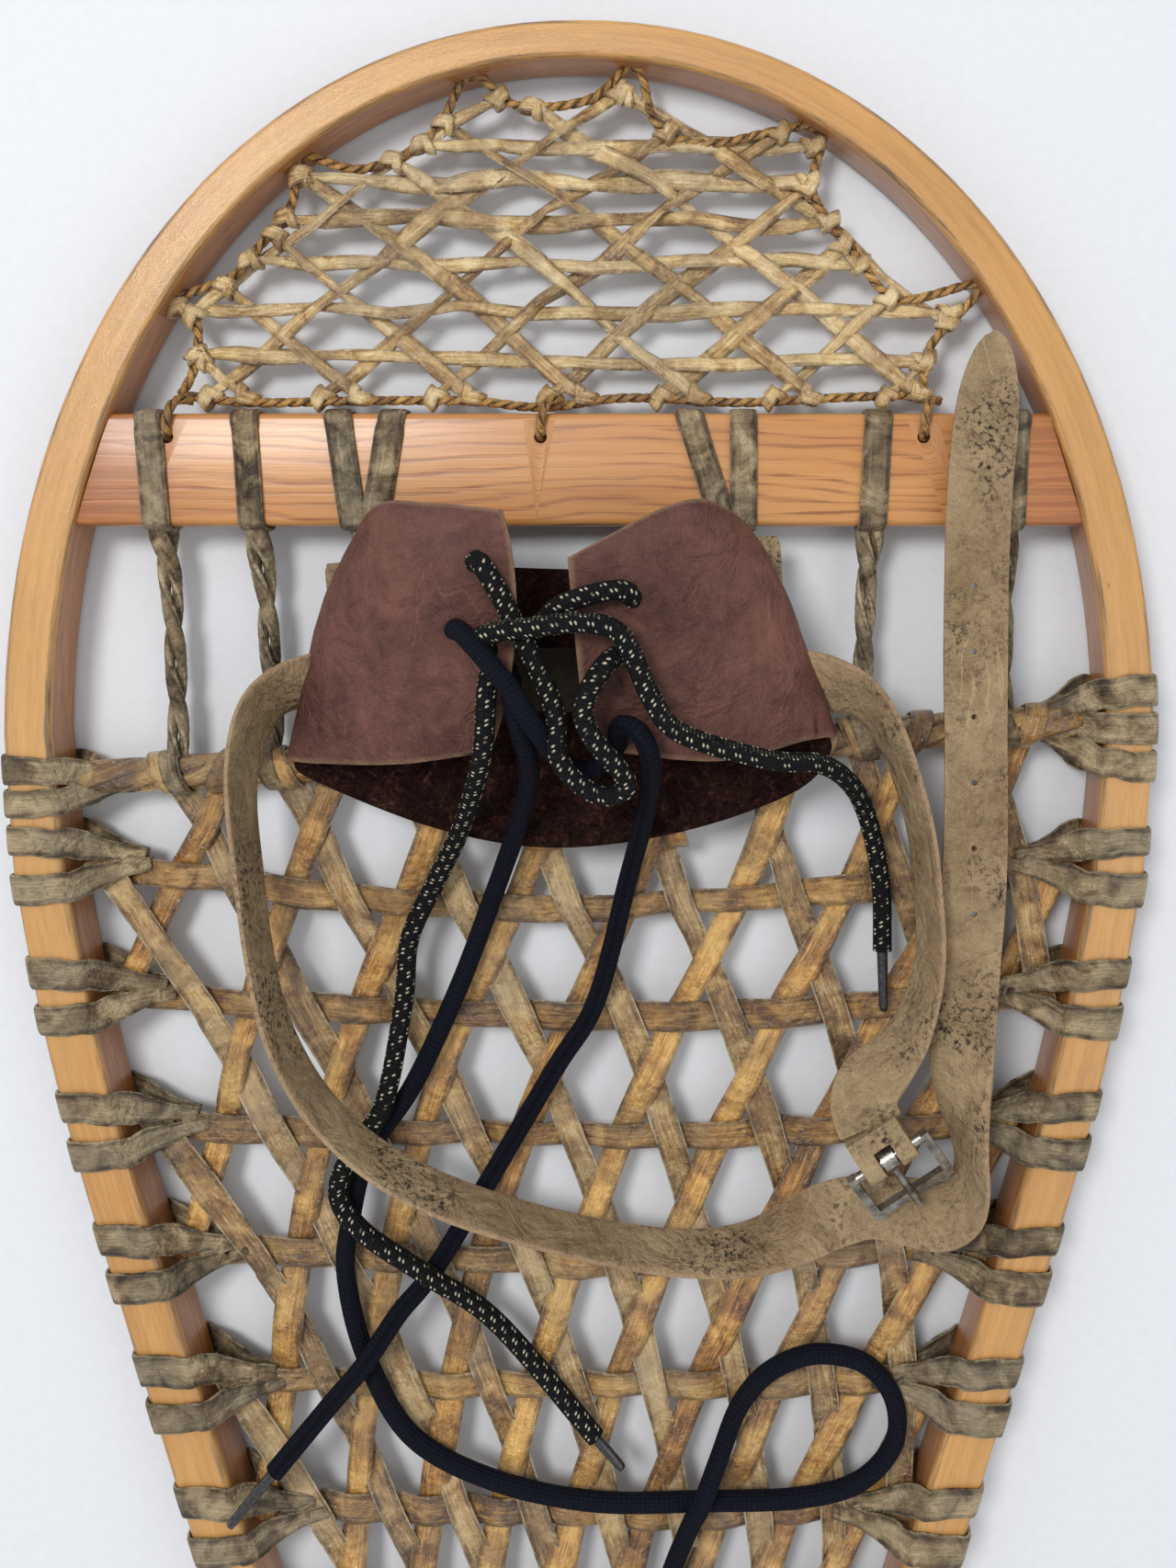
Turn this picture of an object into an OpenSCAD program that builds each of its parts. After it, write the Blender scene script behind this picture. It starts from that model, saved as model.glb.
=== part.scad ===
// A wooden snowshoe with rawhide lacing and a laced leather toe binding.
// Millimetres. +Y points to the toe, +Z up; the origin is under the middle of the shoe.

/* [Frame] */
// Overall length from the toe to the end of the tail
total_length = 1170; // [1100:5:1250]
// Half of the widest width, at the shoulders
half_width = 178; // [170:1:190]
// Length of the rounded toe, from the tip back to the widest place
toe_length = 221; // [210:1:235]
// Depth of the bent rail, top to bottom
rail_depth = 20; // [18:0.5:22]
// Width of the rail where it is planed thin round the toe
rail_width_toe = 11.5; // [10:0.5:14]
// Width of the rail along the sides
rail_width_side = 14.5; // [13:0.5:16]

/* [Crossbars] */
// Width of each crossbar along the shoe
crossbar_width = 35; // [30:1:38]
// Thickness of each crossbar
crossbar_thick = 11; // [9:0.5:12]
// How far a tenon enters the rail
tenon_depth = 7; // [5:0.5:8]

/* [Lacing] */
// Thickness of a rawhide band where it wraps wood
wrap_thick = 1.6; // [1.2:0.1:2]
// Distance between the rows of the body lacing
row_pitch = 40.8; // [40:0.1:41.5]
// Width of a body lacing strip
strip_width = 9; // [7:0.5:10]
// Thickness of the woven body lacing
weave_thick = 5; // [4:0.5:6]
// Width of a toe lacing strip
toe_strip_width = 5; // [4:0.5:6]

/* [Binding] */
// Width of the heel strap
strap_width = 20; // [18:0.5:22]
// Thickness of the heel strap leather
strap_thick = 2.6; // [2:0.1:3]
// Thickness of the toe piece leather
leather_thick = 3; // [2.5:0.1:3.5]
// Diameter of a boot lace
lace_d = 6; // [5:0.5:6.5]

/* [Buckle] */
// Diameter of the round bar that the strap folds over
bar_d = 3.2; // [3:0.1:3.6]
// Clear length of that bar between the sides of the buckle
bar_length = 23; // [22:0.5:25]
// Distance from the round bar to the far bar
buckle_reach = 17; // [15:0.5:19]
// Running clearance round the bar, on the radius
running_fit = 0.1; // [0.05:0.01:0.1]

/* [Hidden] */
rail_bottom = wrap_thick;
rail_top = rail_bottom + rail_depth;
toe_y = total_length / 2;
shoulder_y = toe_y - toe_length;
toe_exponent = 2.08;
tail_gap = 0.4;
fit_gap = 0.1;
weave_z = 8;
cord_z = 12;
cord_d = 12;
bar_z = 8;
front_bar_y = 446;
rear_bar_y = -62;
first_row_y = 323.5;
row_count = 9;
column_pitch = 2 / 9;
toe_strip_thick = 3.2;
lanyard_width = 3;
hole_d = 5;
// Where the lanyard goes down through the front crossbar, and how far ahead of its middle
bar_holes = [-128, -12, 107];
bar_hole_ahead = 10;
tenon_width = 22;
tenon_height = 7;
rivet_d = 4;
rivet_head_d = 9;
rivet_head_thick = 1.6;
rivet_y = [-450, -535];
// Longer than any rail or bar that a hole goes through
through = 60;
band_width = 9;
band_offset = 6.6;
rope_d = 6.5;

// Distance back from the toe, half the width outside, half the width of the hole inside
rear_stations = [
    [264, 174.9, 159.2], [308, 166.7, 150.8], [349, 156.5, 140.4], [391, 144, 127.7],
    [434, 130.7, 114.2], [476, 117.6, 101], [560, 92, 75.5], [650, 67, 50.5], [740, 47, 30.5],
    [830, 32, 15.5], [900, 24, 7.5], [960, 19.5, 2.5]
];
inner_end = 990;

// ---- Curves ----

function spline_point(a, b, c, d, t) =
    0.5 * (2 * b + (c - a) * t + (2 * a - 5 * b + 4 * c - d) * t * t
        + (3 * b - a - 3 * c + d) * t * t * t);

// A smooth line through the points p, with n steps between each two
function smooth(p, n) = [
    for (i = [0 : len(p) - 2]) for (k = [0 : n - 1])
        spline_point(p[max(i - 1, 0)], p[i], p[i + 1], p[min(i + 2, len(p) - 1)], k / n),
    p[len(p) - 1]
];

function superellipse(a, b, t) = [
    a * pow(sin(t), 2 / toe_exponent), shoulder_y + b * pow(cos(t), 2 / toe_exponent)
];

toe_steps = [for (t = [0 : 5 : 90]) t];

// Right half of the outside of the rail, grown outwards by g
function outer_half(g) = concat(
    [for (t = toe_steps) superellipse(half_width + g, toe_length + g, t)],
    smooth([for (s = rear_stations) [s[1] + g, toe_y - s[0]]], 2),
    [[18 + g, toe_y - 1030], [15 + g, -toe_y + 8], [12 + g, -toe_y]]
);

// Right half of the inside of the rail, shrunk inwards by g
function inner_half(g) = concat(
    [for (t = toe_steps)
        superellipse(half_width - rail_width_side - g, toe_length - rail_width_toe - g, t)],
    smooth([for (s = rear_stations) [max(s[2] - g, 0.4), toe_y - s[0]]], 2),
    [[0, toe_y - inner_end]]
);

function mirrored(half) = concat(half,
    [for (i = [len(half) - 1 : -1 : 0]) [-half[i][0], half[i][1]]]);

// Half the width of the hole inside the rail at y
function inner_width(y) = lookup_width(inner_half(0), y);
function lookup_width(half, y) = lookup(-y, [for (p = half) [-p[1], p[0]]]);

module outer_area(g) polygon(mirrored(outer_half(g)));
module inner_area(g) polygon(mirrored(inner_half(g)));

module rail_ring(g) {
    difference() {
        outer_area(g);
        inner_area(g);
    }
}

// ---- Shared shapes ----

// A flat strip between two points
module strip(a, b, w) {
    d = b - a;
    n = [-d[1], d[0]] / norm(d) * w / 2;
    polygon([a + n, b + n, b - n, a - n]);
}

// Flat strips along a list of points, rounded where they meet
module strip_line(p, w) {
    for (i = [0 : len(p) - 2]) strip(p[i], p[i + 1], w);
    for (q = p) translate(q) circle(d = w, $fn = 8);
}

// A closed skin through rings of points, each with the same number of points
module skin(rings) {
    m = len(rings[0]);
    last = len(rings) - 1;
    points = [for (r = rings) each r];
    sides = [for (i = [0 : last - 1]) for (k = [0 : m - 1])
        each [[i * m + k, i * m + (k + 1) % m, (i + 1) * m + k],
            [i * m + (k + 1) % m, (i + 1) * m + (k + 1) % m, (i + 1) * m + k]]];
    caps = [[for (k = [m - 1 : -1 : 0]) k], [for (k = [0 : m - 1]) last * m + k]];
    polyhedron(points, concat(sides, caps), convexity = 10);
}

function unit(v) = v / norm(v);
function tangent(p, i) = unit(p[min(i + 1, len(p) - 1)] - p[max(i - 1, 0)]);
function level_side(t) = unit([t[1], -t[0], 0]);

function tube_ring(c, t, r, n) = let(s = level_side(t), u = cross(s, t))
    [for (k = [0 : n - 1]) c + r * (cos(360 * k / n) * s + sin(360 * k / n) * u)];

// A round cord along the points p
module tube(p, d, n) skin([for (i = [0 : len(p) - 1]) tube_ring(p[i], tangent(p, i), d / 2, n)]);

function band_ring(c, t, lean, w, h) =
    let(s = level_side(t), a = cos(lean) * s + sin(lean) * cross(s, t), b = cross(a, t))
    [c + a * w / 2 + b * h / 2, c - a * w / 2 + b * h / 2,
        c - a * w / 2 - b * h / 2, c + a * w / 2 - b * h / 2];

// A flat band along points of [x, y, z, lean], where lean is the tilt of its width
module band(p, w, h) {
    path = [for (q = p) [q[0], q[1], q[2]]];
    skin([for (i = [0 : len(p) - 1]) band_ring(path[i], tangent(path, i), p[i][3], w, h)]);
}

// ---- Frame ----

// Where the lanyard goes through the rail, as angles round the toe from its tip
lanyard_angles = [-51, -31.5, -11.5, 5.5, 26, 49];
inner_a = half_width - rail_width_side;
inner_b = toe_length - rail_width_toe;
function signed_point(t) = let(p = superellipse(inner_a, inner_b, abs(t))) [sign(t) * p[0], p[1]];
function rail_normal(p) = unit([p[0] / pow(inner_a, 2), (p[1] - shoulder_y) / pow(inner_b, 2)]);
// A point just inside the hole at angle t
function hole_mouth(t) = let(p = signed_point(t)) p + 1.5 * rail_normal(p);

module hole_through_rail(t) {
    p = signed_point(t);
    n = rail_normal(p);
    translate([p[0], p[1], cord_z]) rotate([0, 90, atan2(n[1], n[0])])
        cylinder(d = hole_d, h = through, center = true, $fn = 32);
}

module tenons(extra) {
    for (y = [front_bar_y, rear_bar_y], side = [-1, 1])
        translate([side * inner_width(y), y, bar_z + crossbar_thick / 2])
            cube([2 * tenon_depth + extra, tenon_width + extra, tenon_height + extra], center = true);
}

module frame_rail() {
    color("#c98a3c") difference() {
        translate([0, 0, rail_bottom]) linear_extrude(rail_depth) rail_ring(0);
        translate([-tail_gap / 2, -toe_y - 1, 0]) cube([tail_gap, toe_length, rail_top + 1]);
        tenons(2 * fit_gap);
        for (t = lanyard_angles) hole_through_rail(t);
        for (y = rivet_y) translate([0, y, cord_z]) rotate([0, 90, 0])
            cylinder(d = rivet_d, h = through, center = true, $fn = 32);
    }
}

module crossbar(y) {
    color("#b8702f") {
        difference() {
            translate([0, 0, bar_z]) linear_extrude(crossbar_thick) intersection() {
                translate([-half_width, y - crossbar_width / 2]) square([2 * half_width, crossbar_width]);
                inner_area(0);
            }
            if (y > 0) for (x = bar_holes) translate([x, y + bar_hole_ahead, 0])
                cylinder(d = hole_d, h = rail_top, $fn = 32);
        }
        intersection() {
            tenons(0);
            translate([0, y, 0]) cube([2 * half_width, crossbar_width, 2 * through], center = true);
        }
    }
}

module front_crossbar() crossbar(front_bar_y);
module rear_crossbar() crossbar(rear_bar_y);

// A rivet through both ends of the rail, side by side in the tail
module tail_rivet(y) {
    reach = lookup_width(outer_half(0), y + rivet_head_d / 2) + 0.05;
    color("#8d7a5a") {
        translate([0, y, cord_z]) rotate([0, 90, 0])
            cylinder(d = rivet_d, h = 2 * reach, center = true, $fn = 32);
        for (side = [-1, 1]) translate([side * (reach + rivet_head_thick / 2), y, cord_z])
            rotate([0, 90, 0]) cylinder(d = rivet_head_d, h = rivet_head_thick, center = true, $fn = 32);
    }
}

module front_tail_rivet() tail_rivet(rivet_y[0]);
module rear_tail_rivet() tail_rivet(rivet_y[1]);

// ---- Rawhide on the rails ----

// Bands round the rail: each is [middle y, width]
module rail_wraps(side, bands) {
    color("#8f8262") difference() {
        linear_extrude(rail_depth + 2 * wrap_thick) intersection() {
            rail_ring(wrap_thick);
            for (b = bands) translate([side * half_width, b[0]])
                square([2 * half_width, b[1]], center = true);
        }
        translate([0, 0, rail_bottom]) linear_extrude(rail_depth) rail_ring(0);
    }
}

function row_y(i) = first_row_y - row_pitch * i;
function row_sag(i) = 3 + 12 * pow(0.5, i);

// Two bands for each row, one ahead of it and one behind it
function pairs(widths) = [for (i = [0 : row_count - 1])
    each [[row_y(i) + band_offset, widths[0]], [row_y(i) - band_offset, widths[1]]]];

module left_rail_wraps() rail_wraps(-1, pairs([10, 9.5]));
module right_rail_wraps() rail_wraps(1, pairs([9.5, 10.5]));
module toe_cord_left_wrap() rail_wraps(-1, [[348, 20]]);
module toe_cord_right_wrap() rail_wraps(1, [[366, 32]]);

// ---- Lacing ----

// A flat lattice of crossing strips as one outline, pulled tight at the crossings by a hair
module lattice(z, h) {
    translate([0, 0, z]) linear_extrude(h) offset(delta = 0.02) children();
}

// The toe cord, from one rail wrap to the other
toe_cord_route = [
    [-160.5, 349, cord_z], [-110, 352, cord_z], [-40, 355, cord_z],
    [40, 357, cord_z], [110, 364, cord_z], [160.5, 367, cord_z]
];
function toe_cord_y(x) = lookup(x, [for (p = toe_cord_route) [p[0], p[1]]]);

module toe_cord() color("#9a8a5c") tube(smooth(toe_cord_route, 2), cord_d, 12);

function row_line(i) = [for (u = [-1 : 0.25 : 1])
    [u * inner_width(row_y(i)), row_y(i) - row_sag(i) * (1 - u * u)]];

// Distance across, in half widths, of a diagonal where it meets row i; row -1 is the toe cord
function diagonal_u(k, i, way) = (k + way * i / 2) * column_pitch + (way > 0 ? -0.02 : 0.0911);
function diagonal_point(u, i) = let(y = i < 0 ? 352 : row_y(i) - row_sag(i) * (1 - u * u))
    [u * inner_width(y), i == row_count ? rear_bar_y + crossbar_width / 2 : y];

module diagonals(way) {
    for (k = [-14 : 14], i = [-1 : row_count - 1]) {
        a = diagonal_u(k, i, way);
        b = diagonal_u(k, i + 1, way);
        if (max(abs(a), abs(b)) <= 1) strip(diagonal_point(a, i), diagonal_point(b, i + 1), strip_width);
    }
}

module body_area() {
    front = [for (x = [160 : -40 : -160]) [x, toe_cord_y(x) - cord_d / 2 - 1]];
    rear = rear_bar_y + crossbar_width / 2 + wrap_thick + fit_gap;
    intersection() {
        inner_area(wrap_thick + fit_gap);
        polygon(concat(front, [[-half_width, rear], [half_width, rear]]));
    }
}

module body_lacing() {
    color("#b58a3c") lattice(weave_z, weave_thick) intersection() {
        union() {
            for (i = [0 : row_count - 1]) strip_line(row_line(i), strip_width);
            diagonals(1);
            diagonals(-1);
        }
        body_area();
    }
}

// Knots of the toe lanyard, from the left end of the crossbar round the toe to the right end
lanyard_knots = [
    [-126, 470], [-122, 478], [-121, 492], hole_mouth(lanyard_angles[0]), [-110, 507], [-101, 517],
    [-91, 530], hole_mouth(lanyard_angles[1]), [-69, 541], [-47, 551], hole_mouth(lanyard_angles[2]),
    [-20, 561], [3, 563], hole_mouth(lanyard_angles[3]), [24, 555], [41, 549],
    hole_mouth(lanyard_angles[4]), [73, 534], [86, 515], [100, 500], hole_mouth(lanyard_angles[5]),
    [110, 485], [108, 470]
];
// The lanyard's run along the front of the crossbar
lanyard_foot = [
    [-126, 470], [-105, 467.5], [-70, 468], [-35, 468], [-12, 466], [15, 469], [50, 467.5],
    [80, 469], [108, 470]
];

module toe_lanyard() {
    color("#a8823c") lattice(cord_z - lanyard_width / 2, lanyard_width) {
        strip_line(lanyard_knots, lanyard_width);
        strip_line(lanyard_foot, lanyard_width);
    }
}

toe_rows = [481.5, 496.5, 511.5, 525, 537.5, 548.5];
// The sloping strips cross midway between the rows, and shift by half their pitch from row to row
toe_crossings = [460, 474, 489, 504, 518.2, 531.2, 543, 554, 565];
toe_pitch = 35.5;
toe_shift = 13;
function toe_slope(k, way) = [for (i = [0 : len(toe_crossings) - 1])
    [toe_shift + (k + way * (i - 2) / 2) * toe_pitch, toe_crossings[i]]];
tail_pitch = 29;

module toe_lacing() {
    color("#c9ac6a") lattice(weave_z + 1, toe_strip_thick) difference() {
        intersection() {
            union() {
                for (y = toe_rows) strip([-130, y + 1], [125, y - 1], toe_strip_width);
                for (k = [-7 : 7], way = [-1, 1]) strip_line(toe_slope(k, way), toe_strip_width);
            }
            polygon(concat(lanyard_knots, [[108, 468], [-126, 468]]));
            inner_area(0.3);
        }
        strip_line(lanyard_knots, lanyard_width + 0.1);
        strip_line(lanyard_foot, lanyard_width + 0.1);
    }
}

tail_foot_y = rear_bar_y - crossbar_width / 2 - wrap_thick - lanyard_width / 2 - 0.2;
tail_knots = [[-43, tail_foot_y], [-12, -185], [0, -250], [12, -185], [43, tail_foot_y]];
tail_loop = concat(tail_knots, [tail_knots[0]]);

module tail_lanyard() {
    color("#a8823c") lattice(cord_z - lanyard_width / 2, lanyard_width)
        strip_line(tail_loop, lanyard_width);
}

module tail_lacing() {
    color("#b58a3c") lattice(weave_z + 1, toe_strip_thick) difference() {
        intersection() {
            union() {
                for (y = [-96 : -16 : -210]) strip([-60, y], [60, y], toe_strip_width);
                for (k = [-4 : 4], way = [-1, 1]) translate([k * tail_pitch, 0])
                    strip([-way * 72, -80], [way * 72, -224], toe_strip_width);
            }
            polygon(tail_knots);
        }
        strip_line(tail_loop, lanyard_width + 0.1);
    }
}

// ---- Hitches ----

// A band round a crossbar, centred at x
module bar_band(x, y, w) {
    translate([x, y, bar_z + crossbar_thick / 2]) difference() {
        cube([w, crossbar_width + 2 * wrap_thick, crossbar_thick + 2 * wrap_thick], center = true);
        cube([w + 1, crossbar_width, crossbar_thick], center = true);
    }
}

// A strand leaves the bar's band straight for hitch_root and presses hitch_bite into what it meets
hitch_root = 20;
hitch_bite = 0.5;

// Bands at each x in bars, and a twisted strand from behind the crossbar to the toe cord at x
module hitch(bars, x) {
    start = front_bar_y - crossbar_width / 2 - wrap_thick;
    color("#94866a") {
        for (b = bars) bar_band(b, front_bar_y, band_width);
        tube([[(bars[0] + bars[len(bars) - 1]) / 2, start + hitch_bite, cord_z + 1],
            [x, start - hitch_root, cord_z],
            [x, toe_cord_y(x) + cord_d / 2 - hitch_bite, cord_z]], rope_d, 8);
    }
}

module hitch_left_outer() hitch([-133], -127);
module hitch_left_inner() hitch([-103], -97);
module hitch_left_pair() hitch([-73, -60], -68);
module hitch_right_pair() hitch([38, 51], 49);
module hitch_right_inner() hitch([92], 89);
module hitch_right_outer() hitch([135], 133);

module rear_hitches() {
    color("#94866a") for (x = [-36, -18, 0, 18, 36]) bar_band(x, rear_bar_y, band_width);
}

toggle_z = cord_z + 3.4;
toggle_thick = 2.8;
toggle_slit_d = 4;

module toggle(x, y, w, h, angle) {
    color("#b39a72") translate([x, y, toggle_z]) rotate(angle) linear_extrude(toggle_thick) difference() {
        square([w, h], center = true);
        translate([0, h / 5]) circle(d = toggle_slit_d, $fn = 24);
    }
}

module left_toggle() toggle(-74, 409, 9, 16, 5);
module right_toggle() toggle(57, 415, 12, 20, 4);

// ---- Toe piece ----

// Across the leather, from the edge of one flap, under the toe and back over to the other flap
toe_piece_front = [
    [-20, 432, 50], [-40, 434, 49], [-56, 434, 42], [-66, 424, 30], [-62, 418, 22], [-30, 416, 20.5],
    [0, 415, 20.5], [32, 416, 20.5], [48, 418, 22], [52, 425, 30], [43, 433, 42], [30, 434, 49],
    [-1, 418, 50]
];
toe_piece_middle = [
    [-16, 398, 51], [-40, 398, 50], [-66, 399, 42], [-79, 394, 28], [-72, 388, 21], [-34, 385, 20.5],
    [0, 385, 20.5], [34, 385, 20.5], [60, 390, 21], [67, 397, 28], [55, 402, 42], [32, 399, 51],
    [1, 396, 52]
];
toe_piece_rear = [
    [-24, 362, 43], [-50, 358, 41], [-76, 357, 34], [-88, 356, 26], [-80, 349, 20.5], [-44, 335, 20],
    [-8, 329, 20], [32, 334, 20], [68, 347, 20.5], [79, 362, 26], [69, 364, 34], [42, 359, 42], [4, 363, 44]
];

toe_piece_across = [
    smooth(toe_piece_front, 2), smooth(toe_piece_middle, 2), smooth(toe_piece_rear, 2)
];
// The leather sheet as rows of points from front to rear
toe_piece_grid = [for (i = [0 : 6]) [for (k = [0 : len(toe_piece_across[0]) - 1])
    let(a = toe_piece_across[0][k], b = toe_piece_across[1][k], c = toe_piece_across[2][k], t = i / 6)
    a * (1 - t) * (1 - 2 * t) + b * 4 * t * (1 - t) + c * t * (2 * t - 1)]];

function sheet_normal(g, i, k) = unit(cross(
    g[min(i + 1, len(g) - 1)][k] - g[max(i - 1, 0)][k],
    g[i][min(k + 1, len(g[0]) - 1)] - g[i][max(k - 1, 0)]));

function cell(a, b, c, d) = [[a, b, c], [a, c, d]];

// A curved sheet of even thickness through a grid of points, closed round its four edges
module sheet(g, h) {
    rows = len(g);
    m = len(g[0]);
    n = rows * m;
    over = [for (i = [0 : rows - 1]) for (k = [0 : m - 1]) g[i][k] + sheet_normal(g, i, k) * h / 2];
    under = [for (i = [0 : rows - 1]) for (k = [0 : m - 1]) g[i][k] - sheet_normal(g, i, k) * h / 2];
    faces = [for (i = [0 : rows - 2]) for (k = [0 : m - 2]) let(q = i * m + k)
        each concat(cell(q, q + 1, q + 1 + m, q + m), cell(n + q, n + q + m, n + q + 1 + m, n + q + 1))];
    ends = [for (i = [0 : rows - 2]) let(q = i * m, r = q + m - 1)
        each concat(cell(q + m, n + q + m, n + q, q), cell(r, n + r, n + r + m, r + m))];
    rims = [for (k = [0 : m - 2]) let(r = n - m + k)
        each concat(cell(k, n + k, n + k + 1, k + 1), cell(r + 1, n + r + 1, n + r, r))];
    polyhedron(concat(over, under), concat(faces, ends, rims), convexity = 10);
}

module toe_piece() color("#5d352b") sheet(toe_piece_grid, leather_thick);

// Ties from the toe piece to the lacing: each is [x, y, turn]
thongs = [[-12, 341, 6], [29, 342, -8]];
thong_size = [7, 14];
thong_height = 4.6;

module toe_piece_thongs() {
    color("#a8905c") for (p = thongs) translate([p[0], p[1], weave_z + weave_thick]) rotate(p[2])
        linear_extrude(thong_height) square(thong_size, center = true);
}

// ---- Heel strap and buckle ----

// Middle of the buckle's round bar, the turn of the bar and the slope of the buckle
buckle_at = [94, 238, 33];
buckle_turn = 33;
buckle_slope = 25;
side_bar = 2.6;
far_bar = 3;
frame_plate = 2.4;
chape_width = 17;
chape_length = 11;
chape_leather = 2.3;
prong_eye = 4.4;
prong_eye_wall = 1.5;
prong_slot = prong_eye + 1.6;
prong_gap = 0.4;
prong_d = 2.6;
eye_bore = bar_d + 2 * running_fit;

// Points of [x, y, z, lean] from inside the toe piece out of its left side, round the heel,
// past the buckle in a curl and forward to the pointed end
heel_route = [
    [52, 381, 23.4, 0], [20, 381, 23.4, 0], [-20, 381, 23.4, 0], [-58, 381, 23.6, 0],
    [-76, 381, 25.5, 20], [-88, 379, 29, 45], [-96, 372, 30, 62], [-101, 358, 29.5, 76],
    [-102, 343, 28.8, 82], [-100, 322, 28, 84], [-97, 300, 28, 84], [-91, 278, 31, 84],
    [-80, 259, 35, 83], [-66, 244, 36.5, 82], [-50, 233, 36.5, 80], [-31, 224, 35, 80],
    [-8, 216, 32, 80], [14, 210, 29, 78], [34, 206.5, 26.5, 74], [52, 207, 25, 66],
    [66, 211, 23.5, 50], [78, 215.5, 21, 24], [90, 217.5, 19.6, 4], [101, 216.5, 20.2, 12],
    [111, 216, 23.5, 40], [118, 220.5, 25.5, 62], [120.5, 229, 26, 72], [119.5, 239, 26.5, 70],
    [117.5, 251, 27, 52], [117, 265, 27, 28], [118.5, 290, 26.8, 8], [121, 322, 26.6, 0],
    [121.5, 350, 26.6, 0], [121.5, 392, 26.6, 0], [122.5, 434, 26.4, 0], [125, 462, 25.8, 0],
    [128, 488, 25, 0]
];
// The strap's other end, out of the right side of the toe piece and back to the buckle
short_route = [
    [50, 381, 23.4, 180], [62, 381, 24.5, 172], [76, 380, 27.5, 150], [86, 376, 30, 128],
    [94, 366, 30, 112], [100.5, 350, 29.5, 106], [105, 333, 28, 104], [107, 316, 27, 104],
    [108, 300, 26.5, 104], [106, 286, 26.5, 106], [101.5, 274, 27, 112], [94.5, 265.5, 28.5, 126],
    [88.5, 259.5, 30.5, 146], [86.5, 253.5, 32.3, 168], [88.5, 247.5, 33, 180]
];
strap_holes = [310, 330, 350, 370, 390, 410];
strap_holes_x = 120.8;
strap_hole_d = 2.6;

// What is cut away to round the strap's tip
module strap_tip_cut() {
    tip = heel_route[len(heel_route) - 1];
    translate([tip[0] - 1, tip[1] - strap_width / 2 - 1, 0]) difference() {
        translate([-strap_width, 0, 0]) cube([2 * strap_width, 2 * strap_width, through]);
        cylinder(d = strap_width, h = through, $fn = 48);
    }
}

module heel_strap() {
    color("#a58c66") {
        difference() {
            band(heel_route, strap_width, strap_thick);
            strap_tip_cut();
            for (y = strap_holes) translate([strap_holes_x, y, rail_bottom])
                cylinder(d = strap_hole_d, h = through, $fn = 24);
        }
        band(short_route, strap_width, strap_thick);
    }
}

module at_buckle() translate(buckle_at) rotate([0, 0, buckle_turn]) children();
module along_bar(w) rotate([90, 0, 90]) translate([0, 0, -w / 2]) linear_extrude(w) children();

// The leather folded round the buckle's bar, with a slot for the eye of the prong
module buckle_chape() {
    fold_d = bar_d + 4 * running_fit + 2 * chape_leather;
    color("#8c7350") at_buckle() difference() {
        along_bar(chape_width) difference() {
            union() {
                circle(d = fold_d, $fn = 48);
                translate([0, -fold_d / 2]) square([chape_length, fold_d]);
            }
            circle(d = bar_d + 4 * running_fit, $fn = 48);
        }
        cube([prong_slot, fold_d + 2, fold_d + 2], center = true);
    }
}

module buckle_frame() {
    color("#b9b4aa") at_buckle() rotate([buckle_slope, 0, 0]) {
        along_bar(bar_length + 2) circle(d = bar_d, $fn = 32);
        translate([0, 0, -frame_plate / 2]) linear_extrude(frame_plate) {
            for (side = [-1, 1]) translate([side * (bar_length + side_bar) / 2, -buckle_reach / 2])
                square([side_bar, buckle_reach + bar_d], center = true);
            translate([0, -buckle_reach]) square([bar_length + 2 * side_bar, far_bar], center = true);
        }
    }
}

module buckle_prong() {
    rise = frame_plate / 2 + prong_d / 2 + prong_gap;
    color("#b9b4aa") at_buckle() rotate([buckle_slope, 0, 0]) difference() {
        union() {
            along_bar(prong_eye) circle(d = eye_bore + 2 * prong_eye_wall, $fn = 40);
            translate([0, -bar_d / 2, rise]) rotate([90, 0, 0])
                cylinder(d = prong_d, h = buckle_reach, $fn = 32);
        }
        along_bar(prong_eye + 2) circle(d = eye_bore, $fn = 40);
    }
}

// ---- Laces ----

lace_z = weave_z + weave_thick + lace_d / 2 + 0.2;

// From the tip on the lacing up to the left flap, through its eyelets, round in a loose bow,
// through the right flap and down to the tip beside the heel strap
flecked_route = [
    [5, 144, lace_z], [-26, 180, lace_z], [-47, 198, 22.6], [-66, 211, 22.8], [-74, 223, 22.8],
    [-69, 237, 22.8], [-60, 250, 22.4], [-55, 280, lace_z], [-53, 300, lace_z], [-44, 319, 19],
    [-34, 339, 31], [-26, 361, 49.5], [-24, 380, 55], [-24, 389, 47], [-28, 410, 47],
    [-26, 417, 55], [-14.5, 397, 55.5], [-5, 376, 55], [-3.5, 362, 55.5], [2, 354, 54],
    [10, 350, 52.5], [16, 354, 53.5], [6, 368, 58.5], [4, 377, 59.5], [10, 388, 58.5],
    [17, 393, 50], [18, 402, 47.5], [15, 409, 56], [-1, 405.5, 58], [-12, 397, 46.5],
    [-22, 391.5, 48], [-25, 396, 57], [-8, 399, 62], [5, 400, 62], [15, 396, 61.5],
    [23, 379, 60], [31.5, 368.5, 57.5], [57, 360, 50.5], [72, 358, 43], [82, 351, 32],
    [89, 339, 21.5], [94, 318, lace_z], [94.5, 296, lace_z]
];
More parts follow.
